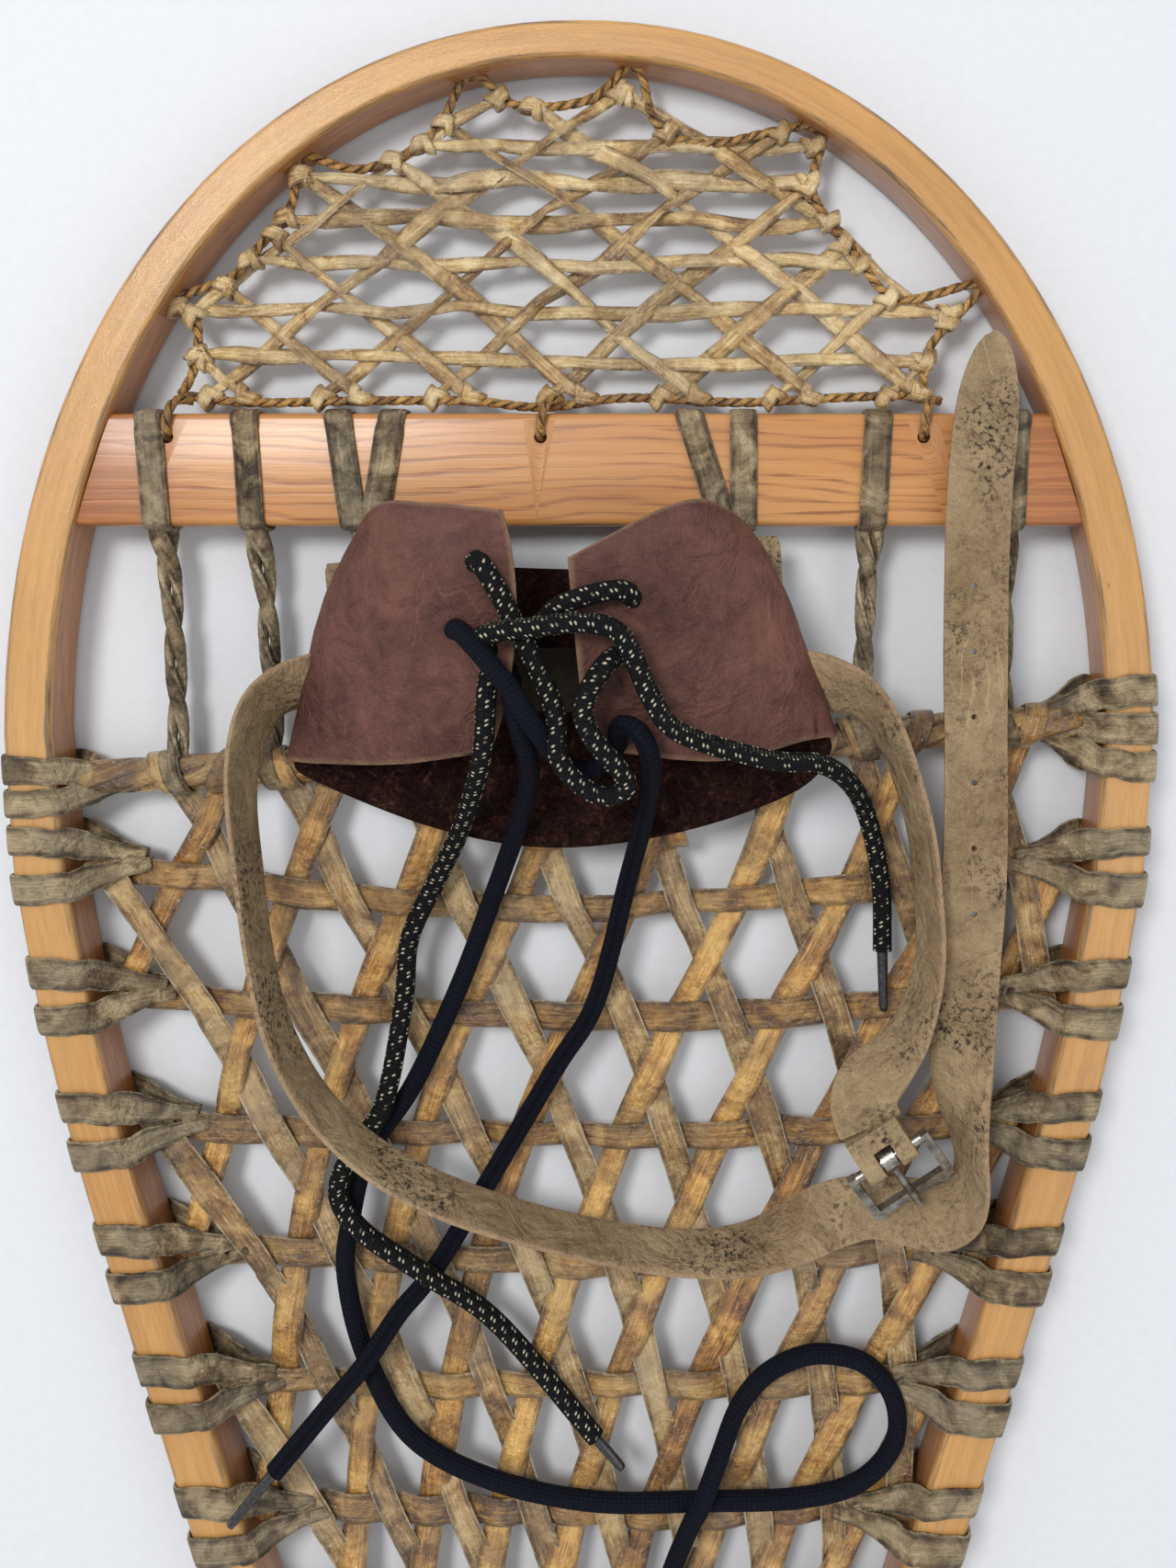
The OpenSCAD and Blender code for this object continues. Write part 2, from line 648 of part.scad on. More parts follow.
// From the tip behind the shoe's middle, round a loop, up through the left flap's eyelets, under
// the bow, through the right flap and back down to the tip by the left rail
navy_route = [
    [6, 10, lace_z], [14, 48, lace_z], [26, 94, lace_z], [34, 118, 20.5], [38, 127, 22.6],
    [43, 139, 20.5], [50, 154, lace_z], [60, 165, lace_z], [74, 170, lace_z], [89, 167, lace_z],
    [98, 156, lace_z], [98, 142, lace_z], [87, 130, lace_z], [68, 125, lace_z], [38, 124, lace_z],
    [4, 124, lace_z], [-28, 131, lace_z], [-53, 145, lace_z], [-67, 170, lace_z], [-73, 195, lace_z],
    [-71.5, 212, lace_z], [-66, 233, lace_z], [-52, 254, lace_z], [-38, 284, lace_z], [-27, 313, lace_z],
    [-17, 340, 30], [-13, 356, 43], [-15, 369, 52], [-17, 378, 53], [-19, 385, 45],
    [-27, 391, 39.5], [-34, 396, 46], [-31, 397, 56], [-18, 383, 60.5], [-10.5, 371, 58],
    [-4, 360, 48], [4, 356, 42.5], [12, 362, 43], [14, 370, 52], [20, 368, 55.5],
    [23, 357, 49.5], [20, 338, 30], [15, 318, 18], [5, 280, lace_z], [-9, 257, lace_z],
    [-43, 200, lace_z], [-56, 184, 19], [-66, 170, 22.6], [-76, 158, 21.8], [-93, 138.5, 25]
];

module flecked_lace() color("#22242a") tube(flecked_route, lace_d, 8);
module navy_lace() color("#1b2233") tube(navy_route, lace_d, 8);

aglet_d = 3.4;
aglet_gap = 0.2;
short_aglet = 13;
long_aglet = 19;

// A tube crimped on the end of a lace, carrying on from the first two of the points p
module aglet(p, length) {
    d = unit(p[0] - p[1]);
    color("#15161a") skin([for (t = [aglet_gap, length]) tube_ring(p[0] + d * t, d, aglet_d / 2, 8)]);
}

function last_two(p) = [p[len(p) - 1], p[len(p) - 2]];

module flecked_aglet_left() aglet(flecked_route, short_aglet);
module flecked_aglet_right() aglet(last_two(flecked_route), long_aglet);
module navy_aglet_left() aglet(navy_route, long_aglet);
module navy_aglet_right() aglet(last_two(navy_route), long_aglet);

frame_rail();
front_crossbar();
rear_crossbar();
front_tail_rivet();
rear_tail_rivet();
left_rail_wraps();
right_rail_wraps();
toe_cord_left_wrap();
toe_cord_right_wrap();
toe_lanyard();
toe_lacing();
body_lacing();
tail_lanyard();
tail_lacing();
toe_cord();
hitch_left_outer();
hitch_left_inner();
hitch_left_pair();
hitch_right_pair();
hitch_right_inner();
hitch_right_outer();
rear_hitches();
left_toggle();
right_toggle();
toe_piece();
toe_piece_thongs();
heel_strap();
buckle_chape();
buckle_frame();
buckle_prong();
flecked_lace();
navy_lace();
flecked_aglet_left();
flecked_aglet_right();
navy_aglet_left();
navy_aglet_right();
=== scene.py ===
import math
import random

import bmesh
import bpy
import numpy as np
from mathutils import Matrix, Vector, noise


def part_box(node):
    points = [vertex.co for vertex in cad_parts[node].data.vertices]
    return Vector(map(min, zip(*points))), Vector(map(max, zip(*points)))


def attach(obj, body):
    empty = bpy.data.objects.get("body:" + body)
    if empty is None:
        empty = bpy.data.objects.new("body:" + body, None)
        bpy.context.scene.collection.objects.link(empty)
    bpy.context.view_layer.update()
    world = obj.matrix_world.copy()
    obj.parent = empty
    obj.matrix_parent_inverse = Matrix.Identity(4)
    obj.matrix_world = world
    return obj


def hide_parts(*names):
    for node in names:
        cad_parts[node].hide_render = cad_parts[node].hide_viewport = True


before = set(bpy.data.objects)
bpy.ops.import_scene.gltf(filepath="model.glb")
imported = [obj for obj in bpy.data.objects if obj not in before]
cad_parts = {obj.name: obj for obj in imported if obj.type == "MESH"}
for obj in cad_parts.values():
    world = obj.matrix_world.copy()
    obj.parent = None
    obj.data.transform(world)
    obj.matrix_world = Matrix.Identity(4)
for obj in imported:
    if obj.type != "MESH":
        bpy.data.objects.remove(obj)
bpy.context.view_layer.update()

MM = 0.001

# ---- The frame's outline, as the CAD part has it (millimetres) ----

RAIL_BOTTOM, RAIL_TOP = (z / MM for z in (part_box("frame_rail")[0][2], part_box("frame_rail")[1][2]))
HALF_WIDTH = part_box("frame_rail")[1][0] / MM
TOE_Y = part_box("frame_rail")[1][1] / MM
TOE_LENGTH = 221
TOE_EXPONENT = 2.08
SHOULDER_Y = TOE_Y - TOE_LENGTH
RAIL_WIDTH_SIDE, RAIL_WIDTH_TOE = 14.5, 11.5
INNER_A, INNER_B = HALF_WIDTH - RAIL_WIDTH_SIDE, TOE_LENGTH - RAIL_WIDTH_TOE
# Distance back from the toe, half the width outside, half the width of the hole inside
REAR_STATIONS = [
    (264, 174.9, 159.2), (308, 166.7, 150.8), (349, 156.5, 140.4), (391, 144, 127.7),
    (434, 130.7, 114.2), (476, 117.6, 101), (560, 92, 75.5), (650, 67, 50.5), (740, 47, 30.5),
    (830, 32, 15.5), (900, 24, 7.5), (960, 19.5, 2.5),
]
TAIL_ENDS = [(18, TOE_Y - 1030), (15.5, TOE_Y - 1100), (15, -TOE_Y + 8), (12, -TOE_Y)]

WEAVE_Z = 10.5
CORD_Z = 12
BAR_BOTTOM, BAR_TOP = 8, 19
FRONT_BAR_Y, REAR_BAR_Y = 446, -62
BAR_WIDTH = 35
FIRST_ROW_Y, ROW_PITCH, ROW_COUNT = 323.5, 40.8, 9
COLUMN_PITCH = 2 / 9
STRAP_WIDTH, STRAP_THICK = 20, 2.6
LACE_D = 6
LACE_Z = 16.2


# ---- Curves ----

def catmull(p, steps):
    """A smooth line through the points p, with this many steps between each two."""
    p = np.asarray(p, float)
    out = []
    for i in range(len(p) - 1):
        a, b, c, d = p[max(i - 1, 0)], p[i], p[i + 1], p[min(i + 2, len(p) - 1)]
        for k in range(steps):
            t = k / steps
            out.append(0.5 * (2 * b + (c - a) * t + (2 * a - 5 * b + 4 * c - d) * t * t
                              + (3 * b - a - 3 * c + d) * t ** 3))
    out.append(p[-1])
    return np.array(out)


def lengths(p):
    return np.concatenate([[0], np.cumsum(np.linalg.norm(np.diff(p[:, :3], axis=0), axis=1))])


def resample(p, step):
    """The line p as points about this far apart."""
    s = lengths(p)
    n = max(2, int(round(s[-1] / step)) + 1)
    at = np.linspace(0, s[-1], n)
    return np.stack([np.interp(at, s, p[:, k]) for k in range(p.shape[1])], axis=1)


def smooth_path(points, step=2.0):
    return resample(catmull(points, 12), step)


def unit(v):
    v = np.asarray(v, float)
    return v / np.maximum(np.linalg.norm(v, axis=-1, keepdims=True), 1e-9)


def tangents(p):
    return unit(np.gradient(p[:, :3], axis=0))


def superellipse(a, b, t):
    power = 2 / TOE_EXPONENT
    return (a * math.sin(t) ** power, SHOULDER_Y + b * max(math.cos(t), 0) ** power)


def half_outline(a, b, column, end, steps=4):
    arc = [superellipse(a, b, math.radians(t)) for t in np.arange(0, 90.1, 2.5)]
    rear = catmull([(s[column], TOE_Y - s[0]) for s in REAR_STATIONS], steps)
    return np.array(arc + [tuple(q) for q in rear] + end)


OUTER = half_outline(HALF_WIDTH, TOE_LENGTH, 1, TAIL_ENDS)
INNER = half_outline(INNER_A, INNER_B, 2, [(0.2, y) for _, y in TAIL_ENDS])


def width_at(outline, y):
    return np.interp(-np.asarray(y, float), -outline[:, 1], outline[:, 0])


def inner_width(y):
    return width_at(INNER, y)


def outer_width(y):
    return width_at(OUTER, y)


# ---- Meshes ----

class Mesh:
    """Collects rings of points into one object, with each point's place along and across its strip."""

    def __init__(self, name):
        self.name, self.points, self.faces, self.grain, self.edge, self.slots = name, [], [], [], [], []
        self.seed = random.Random(name)

    def add(self, points, grain, edge):
        first = sum(len(p) for p in self.points)
        self.points.append(np.asarray(points, float))
        self.grain.append(np.asarray(grain, float))
        self.edge.append(np.asarray(edge, float))
        return first

    def rings(self, rings, grain, edge, closed=False):
        """Joins rings, an array of ring by point by xyz, into a tube with closed ends."""
        n, m = rings.shape[:2]
        first = self.add(rings.reshape(-1, 3), grain.reshape(-1, 3), edge.reshape(-1))
        last = n if closed else n - 1
        for i in range(last):
            a, b = first + i * m, first + ((i + 1) % n) * m
            for k in range(m):
                q = (k + 1) % m
                self.faces.append((a + k, a + q, b + q, b + k))
                self.slots.append(0)
        if not closed:
            self.faces.append(tuple(first + k for k in range(m - 1, -1, -1)))
            self.faces.append(tuple(first + (n - 1) * m + k for k in range(m)))
            self.slots += [0, 0]

    def build(self, materials, node):
        mesh = bpy.data.meshes.new(self.name)
        points = np.concatenate(self.points) * MM
        mesh.from_pydata([tuple(p) for p in points], [], self.faces)
        for material in materials:
            mesh.materials.append(material)
        mesh.polygons.foreach_set("material_index", self.slots)
        mesh.polygons.foreach_set("use_smooth", [True] * len(self.faces))
        place = mesh.attributes.new("grain", "FLOAT_VECTOR", "POINT")
        place.data.foreach_set("vector", (np.concatenate(self.grain) * np.array([MM, MM, 1])).ravel())
        rim = mesh.attributes.new("rim", "FLOAT", "POINT")
        rim.data.foreach_set("value", np.concatenate(self.edge))
        mesh.update()
        tidy = bmesh.new()
        tidy.from_mesh(mesh)
        bmesh.ops.recalc_face_normals(tidy, faces=tidy.faces)
        tidy.to_mesh(mesh)
        tidy.free()
        piece = bpy.data.objects.new(self.name, mesh)
        bpy.context.scene.collection.objects.link(piece)
        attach(piece, "shoe")
        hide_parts(node)
        return piece


SECTION = 12


def section_points(width, thick, cup, roundness):
    """A flat section with rounded edges: across and up, for each point of the ring."""
    angles = np.linspace(0, 2 * math.pi, SECTION, endpoint=False) + math.pi / SECTION
    c, s = np.cos(angles), np.sin(angles)
    across = np.sign(c) * np.abs(c) ** roundness
    up = np.sign(s) * np.abs(s) ** (roundness * 1.3)
    return across[None, :] * width[:, None] / 2, up[None, :] * thick[:, None] / 2 + (
        cup[:, None] * (across[None, :] ** 2 - 0.4))


def strip(mesh, path, side, width, thick, cup=0.0, tone=0.5, roundness=0.55, closed=False, start=0.0):
    """A strip along path whose width lies along side; width, thick and cup are numbers or one per point."""
    n = len(path)
    t = tangents(path)
    if closed:
        t = unit(np.roll(path, -1, axis=0) - np.roll(path, 1, axis=0))
    side = np.broadcast_to(np.asarray(side, float), (n, 3))
    side = unit(side - t * np.sum(side * t, axis=1, keepdims=True))
    up = np.cross(side, t)
    full = [np.broadcast_to(np.asarray(v, float), (n,)) for v in (width, thick, cup)]
    across, rise = section_points(*full, roundness)
    rings = path[:, None, :] + side[:, None, :] * across[..., None] + up[:, None, :] * rise[..., None]
    s = lengths(path) + start
    tones = np.broadcast_to(np.reshape(tone, (-1, 1)), across.shape)
    grain = np.stack([np.repeat(s[:, None], SECTION, 1), across, tones], axis=-1)
    edge = np.abs(across) / np.maximum(full[0][:, None] / 2, 1e-6)
    mesh.rings(rings, grain, edge ** 4, closed)


def cord(mesh, path, diameter, sides):
    """A round cord along path, with its grain round and along it."""
    t = tangents(path)
    up = np.array([0, 0, 1.0])
    side = unit(np.cross(t, up) + 1e-6)
    for i in range(1, len(side)):
        side[i] = unit(side[i - 1] - t[i] * np.dot(side[i - 1], t[i]))
    other = np.cross(side, t)
    angles = np.linspace(0, 2 * math.pi, sides, endpoint=False)
    radius = np.broadcast_to(np.asarray(diameter, float), (len(path),))[:, None, None] / 2
    rings = path[:, None, :] + radius * (np.cos(angles)[None, :, None] * side[:, None, :]
                                         + np.sin(angles)[None, :, None] * other[:, None, :])
    grain = np.stack([np.repeat(lengths(path)[:, None], sides, 1), np.repeat(angles[None, :], len(path), 0),
                      np.full((len(path), sides), 0.5)], axis=-1)
    mesh.rings(rings, grain, np.zeros((len(path), sides)))


def twist(mesh, path, diameter, pitch, plies=2, tone=0.5, flat=0.8, phase=0.0, spread=0.27):
    """Strands laid round each other along path."""
    d = np.broadcast_to(np.asarray(diameter, float), (len(path),))
    path = resample(np.column_stack([path, d]), max(d.max() * 0.25, 0.8))
    path, d = path[:, :3], path[:, 3]
    t = tangents(path)
    side = unit(np.cross(t, [0, 0, 1.0]) + 1e-6)
    up = np.cross(side, t)
    s = lengths(path)
    for ply in range(plies):
        angle = 2 * math.pi * (s / pitch + ply / plies) + phase
        out = np.cos(angle)[:, None] * side + np.sin(angle)[:, None] * up
        centre = path + out * (d * spread)[:, None]
        round_side = -np.sin(angle)[:, None] * side + np.cos(angle)[:, None] * up
        strip(mesh, centre, round_side, d * flat, d * 0.5, tone=tone + 0.15 * ply, roundness=0.8)


# ---- Shaders ----

class Shader:
    """A material, with short ways to make its nodes."""

    def __init__(self, name, roughness=0.5):
        self.material = bpy.data.materials.new(name)
        self.material.use_nodes = True
        self.tree = self.material.node_tree
        self.surface = self.tree.nodes["Principled BSDF"]
        self.surface.inputs["Roughness"].default_value = roughness

    def node(self, kind, **values):
        made = self.tree.nodes.new(kind)
        for key, value in values.items():
            setattr(made, key, value)
        return made

    def link(self, a, b):
        self.tree.links.new(a, b)

    def feed(self, socket, value):
        if isinstance(value, bpy.types.NodeSocket):
            self.link(value, socket)
        else:
            socket.default_value = value

    def attribute(self, name, output="Vector"):
        return self.node("ShaderNodeAttribute", attribute_name=name).outputs[output]

    def place(self):
        return self.node("ShaderNodeTexCoord").outputs["Object"]

    def scaled(self, vector, scale, offset=(0, 0, 0)):
        made = self.node("ShaderNodeMapping")
        self.link(vector, made.inputs["Vector"])
        made.inputs["Scale"].default_value = scale
        made.inputs["Location"].default_value = offset
        return made.outputs["Vector"]

    def noise(self, vector, scale=1.0, detail=4.0, rough=0.55, distortion=0.0):
        made = self.node("ShaderNodeTexNoise")
        self.link(vector, made.inputs["Vector"])
        made.inputs["Scale"].default_value = scale
        made.inputs["Detail"].default_value = detail
        made.inputs["Roughness"].default_value = rough
        made.inputs["Distortion"].default_value = distortion
        return made.outputs["Fac"]

    def cells(self, vector, scale=1.0):
        made = self.node("ShaderNodeTexVoronoi", feature="F1")
        self.link(vector, made.inputs["Vector"])
        made.inputs["Scale"].default_value = scale
        return made.outputs["Distance"]

    def ramp(self, value, *stops):
        made = self.node("ShaderNodeValToRGB")
        self.link(value, made.inputs["Fac"])
        elements = made.color_ramp.elements
        while len(elements) < len(stops):
            elements.new(0.5)
        for element, (position, colour) in zip(elements, stops):
            element.position = position
            element.color = (*colour, 1)
        return made.outputs["Color"]

    def limits(self, value, low, high, out_low=0.0, out_high=1.0):
        made = self.node("ShaderNodeMapRange")
        self.link(value, made.inputs["Value"])
        made.inputs["From Min"].default_value = low
        made.inputs["From Max"].default_value = high
        made.inputs["To Min"].default_value = out_low
        made.inputs["To Max"].default_value = out_high
        return made.outputs["Result"]

    def math(self, operation, a, b=0.0):
        made = self.node("ShaderNodeMath", operation=operation)
        self.feed(made.inputs[0], a)
        self.feed(made.inputs[1], b)
        return made.outputs[0]

    def plus(self, a, b):
        return self.math("ADD", a, b)

    def minus(self, a, b):
        return self.math("SUBTRACT", a, b)

    def times(self, a, b):
        return self.math("MULTIPLY", a, b)

    def mix(self, factor, a, b):
        made = self.node("ShaderNodeMix", data_type="RGBA")
        self.feed(made.inputs["Factor"], factor)
        for key, value in ((6, a), (7, b)):
            if isinstance(value, bpy.types.NodeSocket):
                self.link(value, made.inputs[key])
            else:
                made.inputs[key].default_value = (*value, 1)
        return made.outputs[2]

    def split(self, vector):
        made = self.node("ShaderNodeSeparateXYZ")
        self.link(vector, made.inputs[0])
        return made.outputs

    def colour(self, value):
        self.link(value, self.surface.inputs["Base Color"])

    def roughness(self, value):
        self.link(value, self.surface.inputs["Roughness"])

    def bump(self, height, strength, distance, coat=False):
        made = self.node("ShaderNodeBump")
        self.link(height, made.inputs["Height"])
        made.inputs["Strength"].default_value = strength
        made.inputs["Distance"].default_value = distance
        self.link(made.outputs["Normal"], self.surface.inputs["Normal"])
        if coat:
            self.link(made.outputs["Normal"], self.surface.inputs["Coat Normal"])

    def coat(self, weight, rough):
        self.surface.inputs["Coat Weight"].default_value = weight
        self.surface.inputs["Coat Roughness"].default_value = rough


def srgb(r, g, b):
    return tuple(((c / 255 + 0.055) / 1.055) ** 2.4 if c > 10 else c / 255 / 12.92 for c in (r, g, b))


def frame_wood():
    """Golden varnished ash: even grain on top, darker and redder on the walls below the top face, dark worn
    arrises.
    """
    s = Shader("frame_wood", 0.4)
    grain = s.attribute("grain")
    place = s.place()
    streaks = s.noise(s.scaled(grain, (7, 300, 200)), 1, 4, 0.6, 0.5)
    fine = s.noise(s.scaled(grain, (90, 2600, 1500)), 1, 3, 0.6)
    broad = s.noise(place, 7, 3)
    tone = s.plus(s.times(streaks, 0.55), s.times(broad, 0.45))
    amber = s.ramp(tone, (0.3, srgb(188, 132, 68)), (0.5, srgb(203, 150, 84)), (0.7, srgb(212, 162, 96)))
    pores = s.limits(fine, 0.56, 0.74, 0.0, 0.22)
    wood = s.mix(pores, amber, srgb(132, 80, 38))
    height = s.split(place)[2]
    # Darker, redder colour on the walls below the top face, set by height alone.
    wall = s.limits(height, RAIL_TOP * MM - 0.0018, RAIL_TOP * MM - 0.003)
    scratch = s.noise(s.scaled(grain, (60, 1100, 1100)), 1, 6, 0.7, 1.0)
    deep = s.ramp(scratch, (0.36, srgb(120, 64, 30)), (0.52, srgb(170, 102, 54)), (0.7, srgb(204, 142, 86)))
    wood = s.mix(s.times(wall, 0.8), wood, deep)
    rim = s.attribute("rim", "Fac")
    worn = s.limits(s.noise(s.scaled(grain, (40, 500, 300)), 1, 6, 0.75), 0.42, 0.64, 0.0, 0.85)
    wood = s.mix(s.times(rim, worn), wood, srgb(84, 72, 62))
    knots = s.limits(s.cells(s.scaled(grain, (38, 110, 60)), 1), 0.05, 0.02)
    wood = s.mix(s.times(knots, 0.5), wood, srgb(84, 46, 24))
    s.colour(wood)
    s.roughness(s.limits(broad, 0.3, 0.7, 0.3, 0.48))
    flecks = s.noise(s.scaled(grain, (500, 2000, 900)), 1, 3, 0.7)
    s.bump(s.plus(s.times(fine, 0.5), flecks), 0.5, 0.0003, coat=True)
    s.coat(0.4, 0.16)
    return s.material


def crossbar_wood():
    """Orange varnished oak with thin dark grain lines and reddish ends."""
    s = Shader("crossbar_wood", 0.38)
    grain = s.attribute("grain")
    place = s.place()
    bent = s.noise(s.scaled(grain, (7, 34, 34)), 1, 3)
    across = s.split(grain)[1]
    rings = s.math("SINE", s.plus(s.times(across, 1500), s.times(bent, 44)))
    streaks = s.noise(s.scaled(grain, (16, 1100, 300)), 1, 5, 0.65, 0.4)
    broad = s.noise(s.scaled(grain, (5, 60, 60)), 1, 3)
    tone = s.plus(s.times(streaks, 0.35), s.times(broad, 0.65))
    amber = s.ramp(tone, (0.3, srgb(176, 112, 56)), (0.5, srgb(196, 134, 72)), (0.7, srgb(208, 152, 90)))
    pores = s.times(s.limits(rings, 0.1, 0.95, 0.0, 0.75), s.limits(streaks, 0.42, 0.6))
    wood = s.mix(pores, amber, srgb(120, 60, 26))
    ends = s.limits(s.math("ABSOLUTE", s.split(place)[0]), 0.112, 0.15, 0.0, 0.6)
    wood = s.mix(ends, wood, s.ramp(streaks, (0.35, srgb(84, 36, 18)), (0.65, srgb(178, 96, 52))))
    s.colour(wood)
    s.roughness(s.limits(streaks, 0.3, 0.7, 0.45, 0.28))
    s.bump(s.minus(streaks, s.times(pores, 0.6)), 0.35, 0.0003)
    s.coat(0.35, 0.2)
    return s.material


def rawhide(name, dark, middle, light, grey, dirt, gloss, pale_edge, bump=0.6, fibrous=0.5):
    """Dried hide: mottled, with fibres along the strip, dark outlines at the strip edges (partly painted
    shade between strips, partly dirt), pale cut edges and grey dirt.
    """
    s = Shader(name, 0.4)
    grain = s.attribute("grain")
    place = s.place()
    tone = s.split(grain)[2]
    mottle = s.noise(place, 110, 5, 0.62, 0.8)
    fibres = s.noise(s.scaled(grain, (90, 1300, 3)), 1, 5, 0.7, 1.0)
    blotch = s.noise(place, 34, 4, 0.55)
    value = s.plus(s.times(mottle, 1 - fibrous), s.times(fibres, fibrous))
    value = s.plus(value, s.times(s.minus(tone, 0.5), 0.2))
    hide = s.ramp(value, (0.38, dark), (0.48, middle), (0.6, light))
    stains = s.limits(s.noise(s.scaled(place, (1, 1, 1), (0.3, 0.7, 0)), 62, 3, 0.6), 0.46, 0.62, 0.0, 0.55)
    hide = s.mix(stains, hide, dark)
    worn = s.times(s.limits(blotch, 0.44, 0.6), dirt)
    hide = s.mix(worn, hide, s.ramp(value, (0.38, tuple(c * 0.35 for c in grey)), (0.58, grey)))
    rim = s.attribute("rim", "Fac")
    # Dark outline along the strip edges: partly painted shade between strips, partly dirt.
    outline = s.times(s.limits(rim, 0.12, 0.45), s.limits(mottle, 0.62, 0.4, 0.3, 0.8))
    hide = s.mix(outline, hide, tuple(c * 0.6 for c in dark))
    cut = s.times(s.limits(rim, 0.5, 0.92), s.limits(fibres, 0.42, 0.58, 0.0, pale_edge))
    hide = s.mix(cut, hide, srgb(206, 188, 150))
    specks = s.limits(s.noise(place, 700, 3), 0.62, 0.74, 0.0, 0.4)
    hide = s.mix(specks, hide, tuple(c * 0.4 for c in dark))
    s.colour(hide)
    shine = (0.2, 0.45) if gloss > 0.3 else (0.55, 0.85)
    s.roughness(s.limits(mottle, 0.3, 0.7, *shine))
    lumps = s.times(s.noise(place, 420, 3), 2.2)
    s.bump(s.plus(s.times(fibres, 0.9), lumps), bump, 0.0013, coat=True)
    s.coat(gloss, 0.07)
    s.surface.inputs["Subsurface Weight"].default_value = 0.08
    s.surface.inputs["Subsurface Radius"].default_value = (0.004, 0.002, 0.001)
    return s.material


def creases(s, place, scale, width, amount):
    """Thin wandering lines where a slow noise passes its middle value, broken up by a second noise."""
    wander = s.math("ABSOLUTE", s.minus(s.noise(place, scale, 2, 0.5, 0.6), 0.5))
    lines = s.limits(wander, width, 0.0, 0.0, amount)
    return s.times(lines, s.limits(s.noise(place, scale * 2.3, 3), 0.44, 0.6))


# Tone value that marks strap stretches under the toe piece; leather() paints them near black as painted
# shade.
SHADE_UNDER_TOE_TONE = -1.0


def leather(name, dark, light, crease, scale, bump, rough, gloss=0.0, spots=None):
    """Tanned leather: blotched, pebbled, scuffed and creased, with a raw paler edge, and painted shade
    where a strap runs under the toe piece.
    """
    s = Shader(name, rough)
    place = s.place()
    blotch = s.noise(place, 26, 6, 0.65, 0.5)
    pebble = s.cells(place, scale)
    fine = s.noise(place, scale * 2.2, 4, 0.7)
    mixed = s.plus(s.times(blotch, 0.65), s.times(fine, 0.35))
    grit = s.noise(place, 240, 5, 0.7)
    mixed = s.plus(s.times(mixed, 0.8), s.times(grit, 0.2))
    hide = s.ramp(mixed, (0.38, dark), (0.62, light))
    folded = creases(s, place, 15, 0.012, 0.35)
    scuffs = creases(s, s.scaled(place, (1.3, 0.3, 1), (3, 1, 0)), 44, 0.006, 0.3)
    hide = s.mix(folded, hide, crease)
    hide = s.mix(scuffs, hide, tuple(min(1, c * 1.7) for c in light))
    rim = s.attribute("rim", "Fac")
    if spots:
        specks = s.limits(s.noise(place, 560, 5, 0.75), 0.5, 0.6)
        patches = s.plus(s.limits(s.noise(place, 34, 3), 0.47, 0.62), s.times(rim, 0.25))
        hide = s.mix(s.times(specks, patches), hide, spots)
    hide = s.mix(s.times(s.limits(rim, 0.5, 1.0), 0.5), hide, srgb(182, 148, 116))
    # Painted shade: strap stretches marked with the shade tone go near black under the toe piece.
    painted_shade_under_toe = s.math("COMPARE", s.split(s.attribute("grain"))[2], SHADE_UNDER_TOE_TONE)
    hide = s.mix(s.times(painted_shade_under_toe, 0.92), hide, srgb(20, 13, 10))
    s.colour(hide)
    s.roughness(s.limits(blotch, 0.3, 0.7, rough - 0.1, rough + 0.12))
    s.surface.inputs["Specular IOR Level"].default_value = 0.3
    dents = s.times(s.noise(place, 70, 4, 0.6, 0.8), 11)
    relief = s.plus(s.plus(s.times(pebble, 0.4), fine), dents)
    s.bump(s.minus(relief, s.times(folded, 2.5)), bump, 0.0008)
    if gloss:
        s.coat(gloss, 0.4)
    return s.material


def suede():
    s = Shader("dark_suede", 0.95)
    place = s.place()
    nap = s.noise(place, 900, 6, 0.8)
    clumps = s.noise(place, 190, 5, 0.75, 1.0)
    value = s.plus(s.times(nap, 0.5), s.times(clumps, 0.5))
    shades = (0.42, srgb(16, 7, 6)), (0.54, srgb(50, 27, 22)), (0.68, srgb(112, 74, 62))
    s.colour(s.ramp(value, *shades))
    s.bump(value, 1.0, 0.002)
    s.surface.inputs["Specular IOR Level"].default_value = 0.1
    return s.material


LACE_FLECK = 5.0 * MM
LACE_RIB = 3.0 * MM
LACE_STRANDS = 8


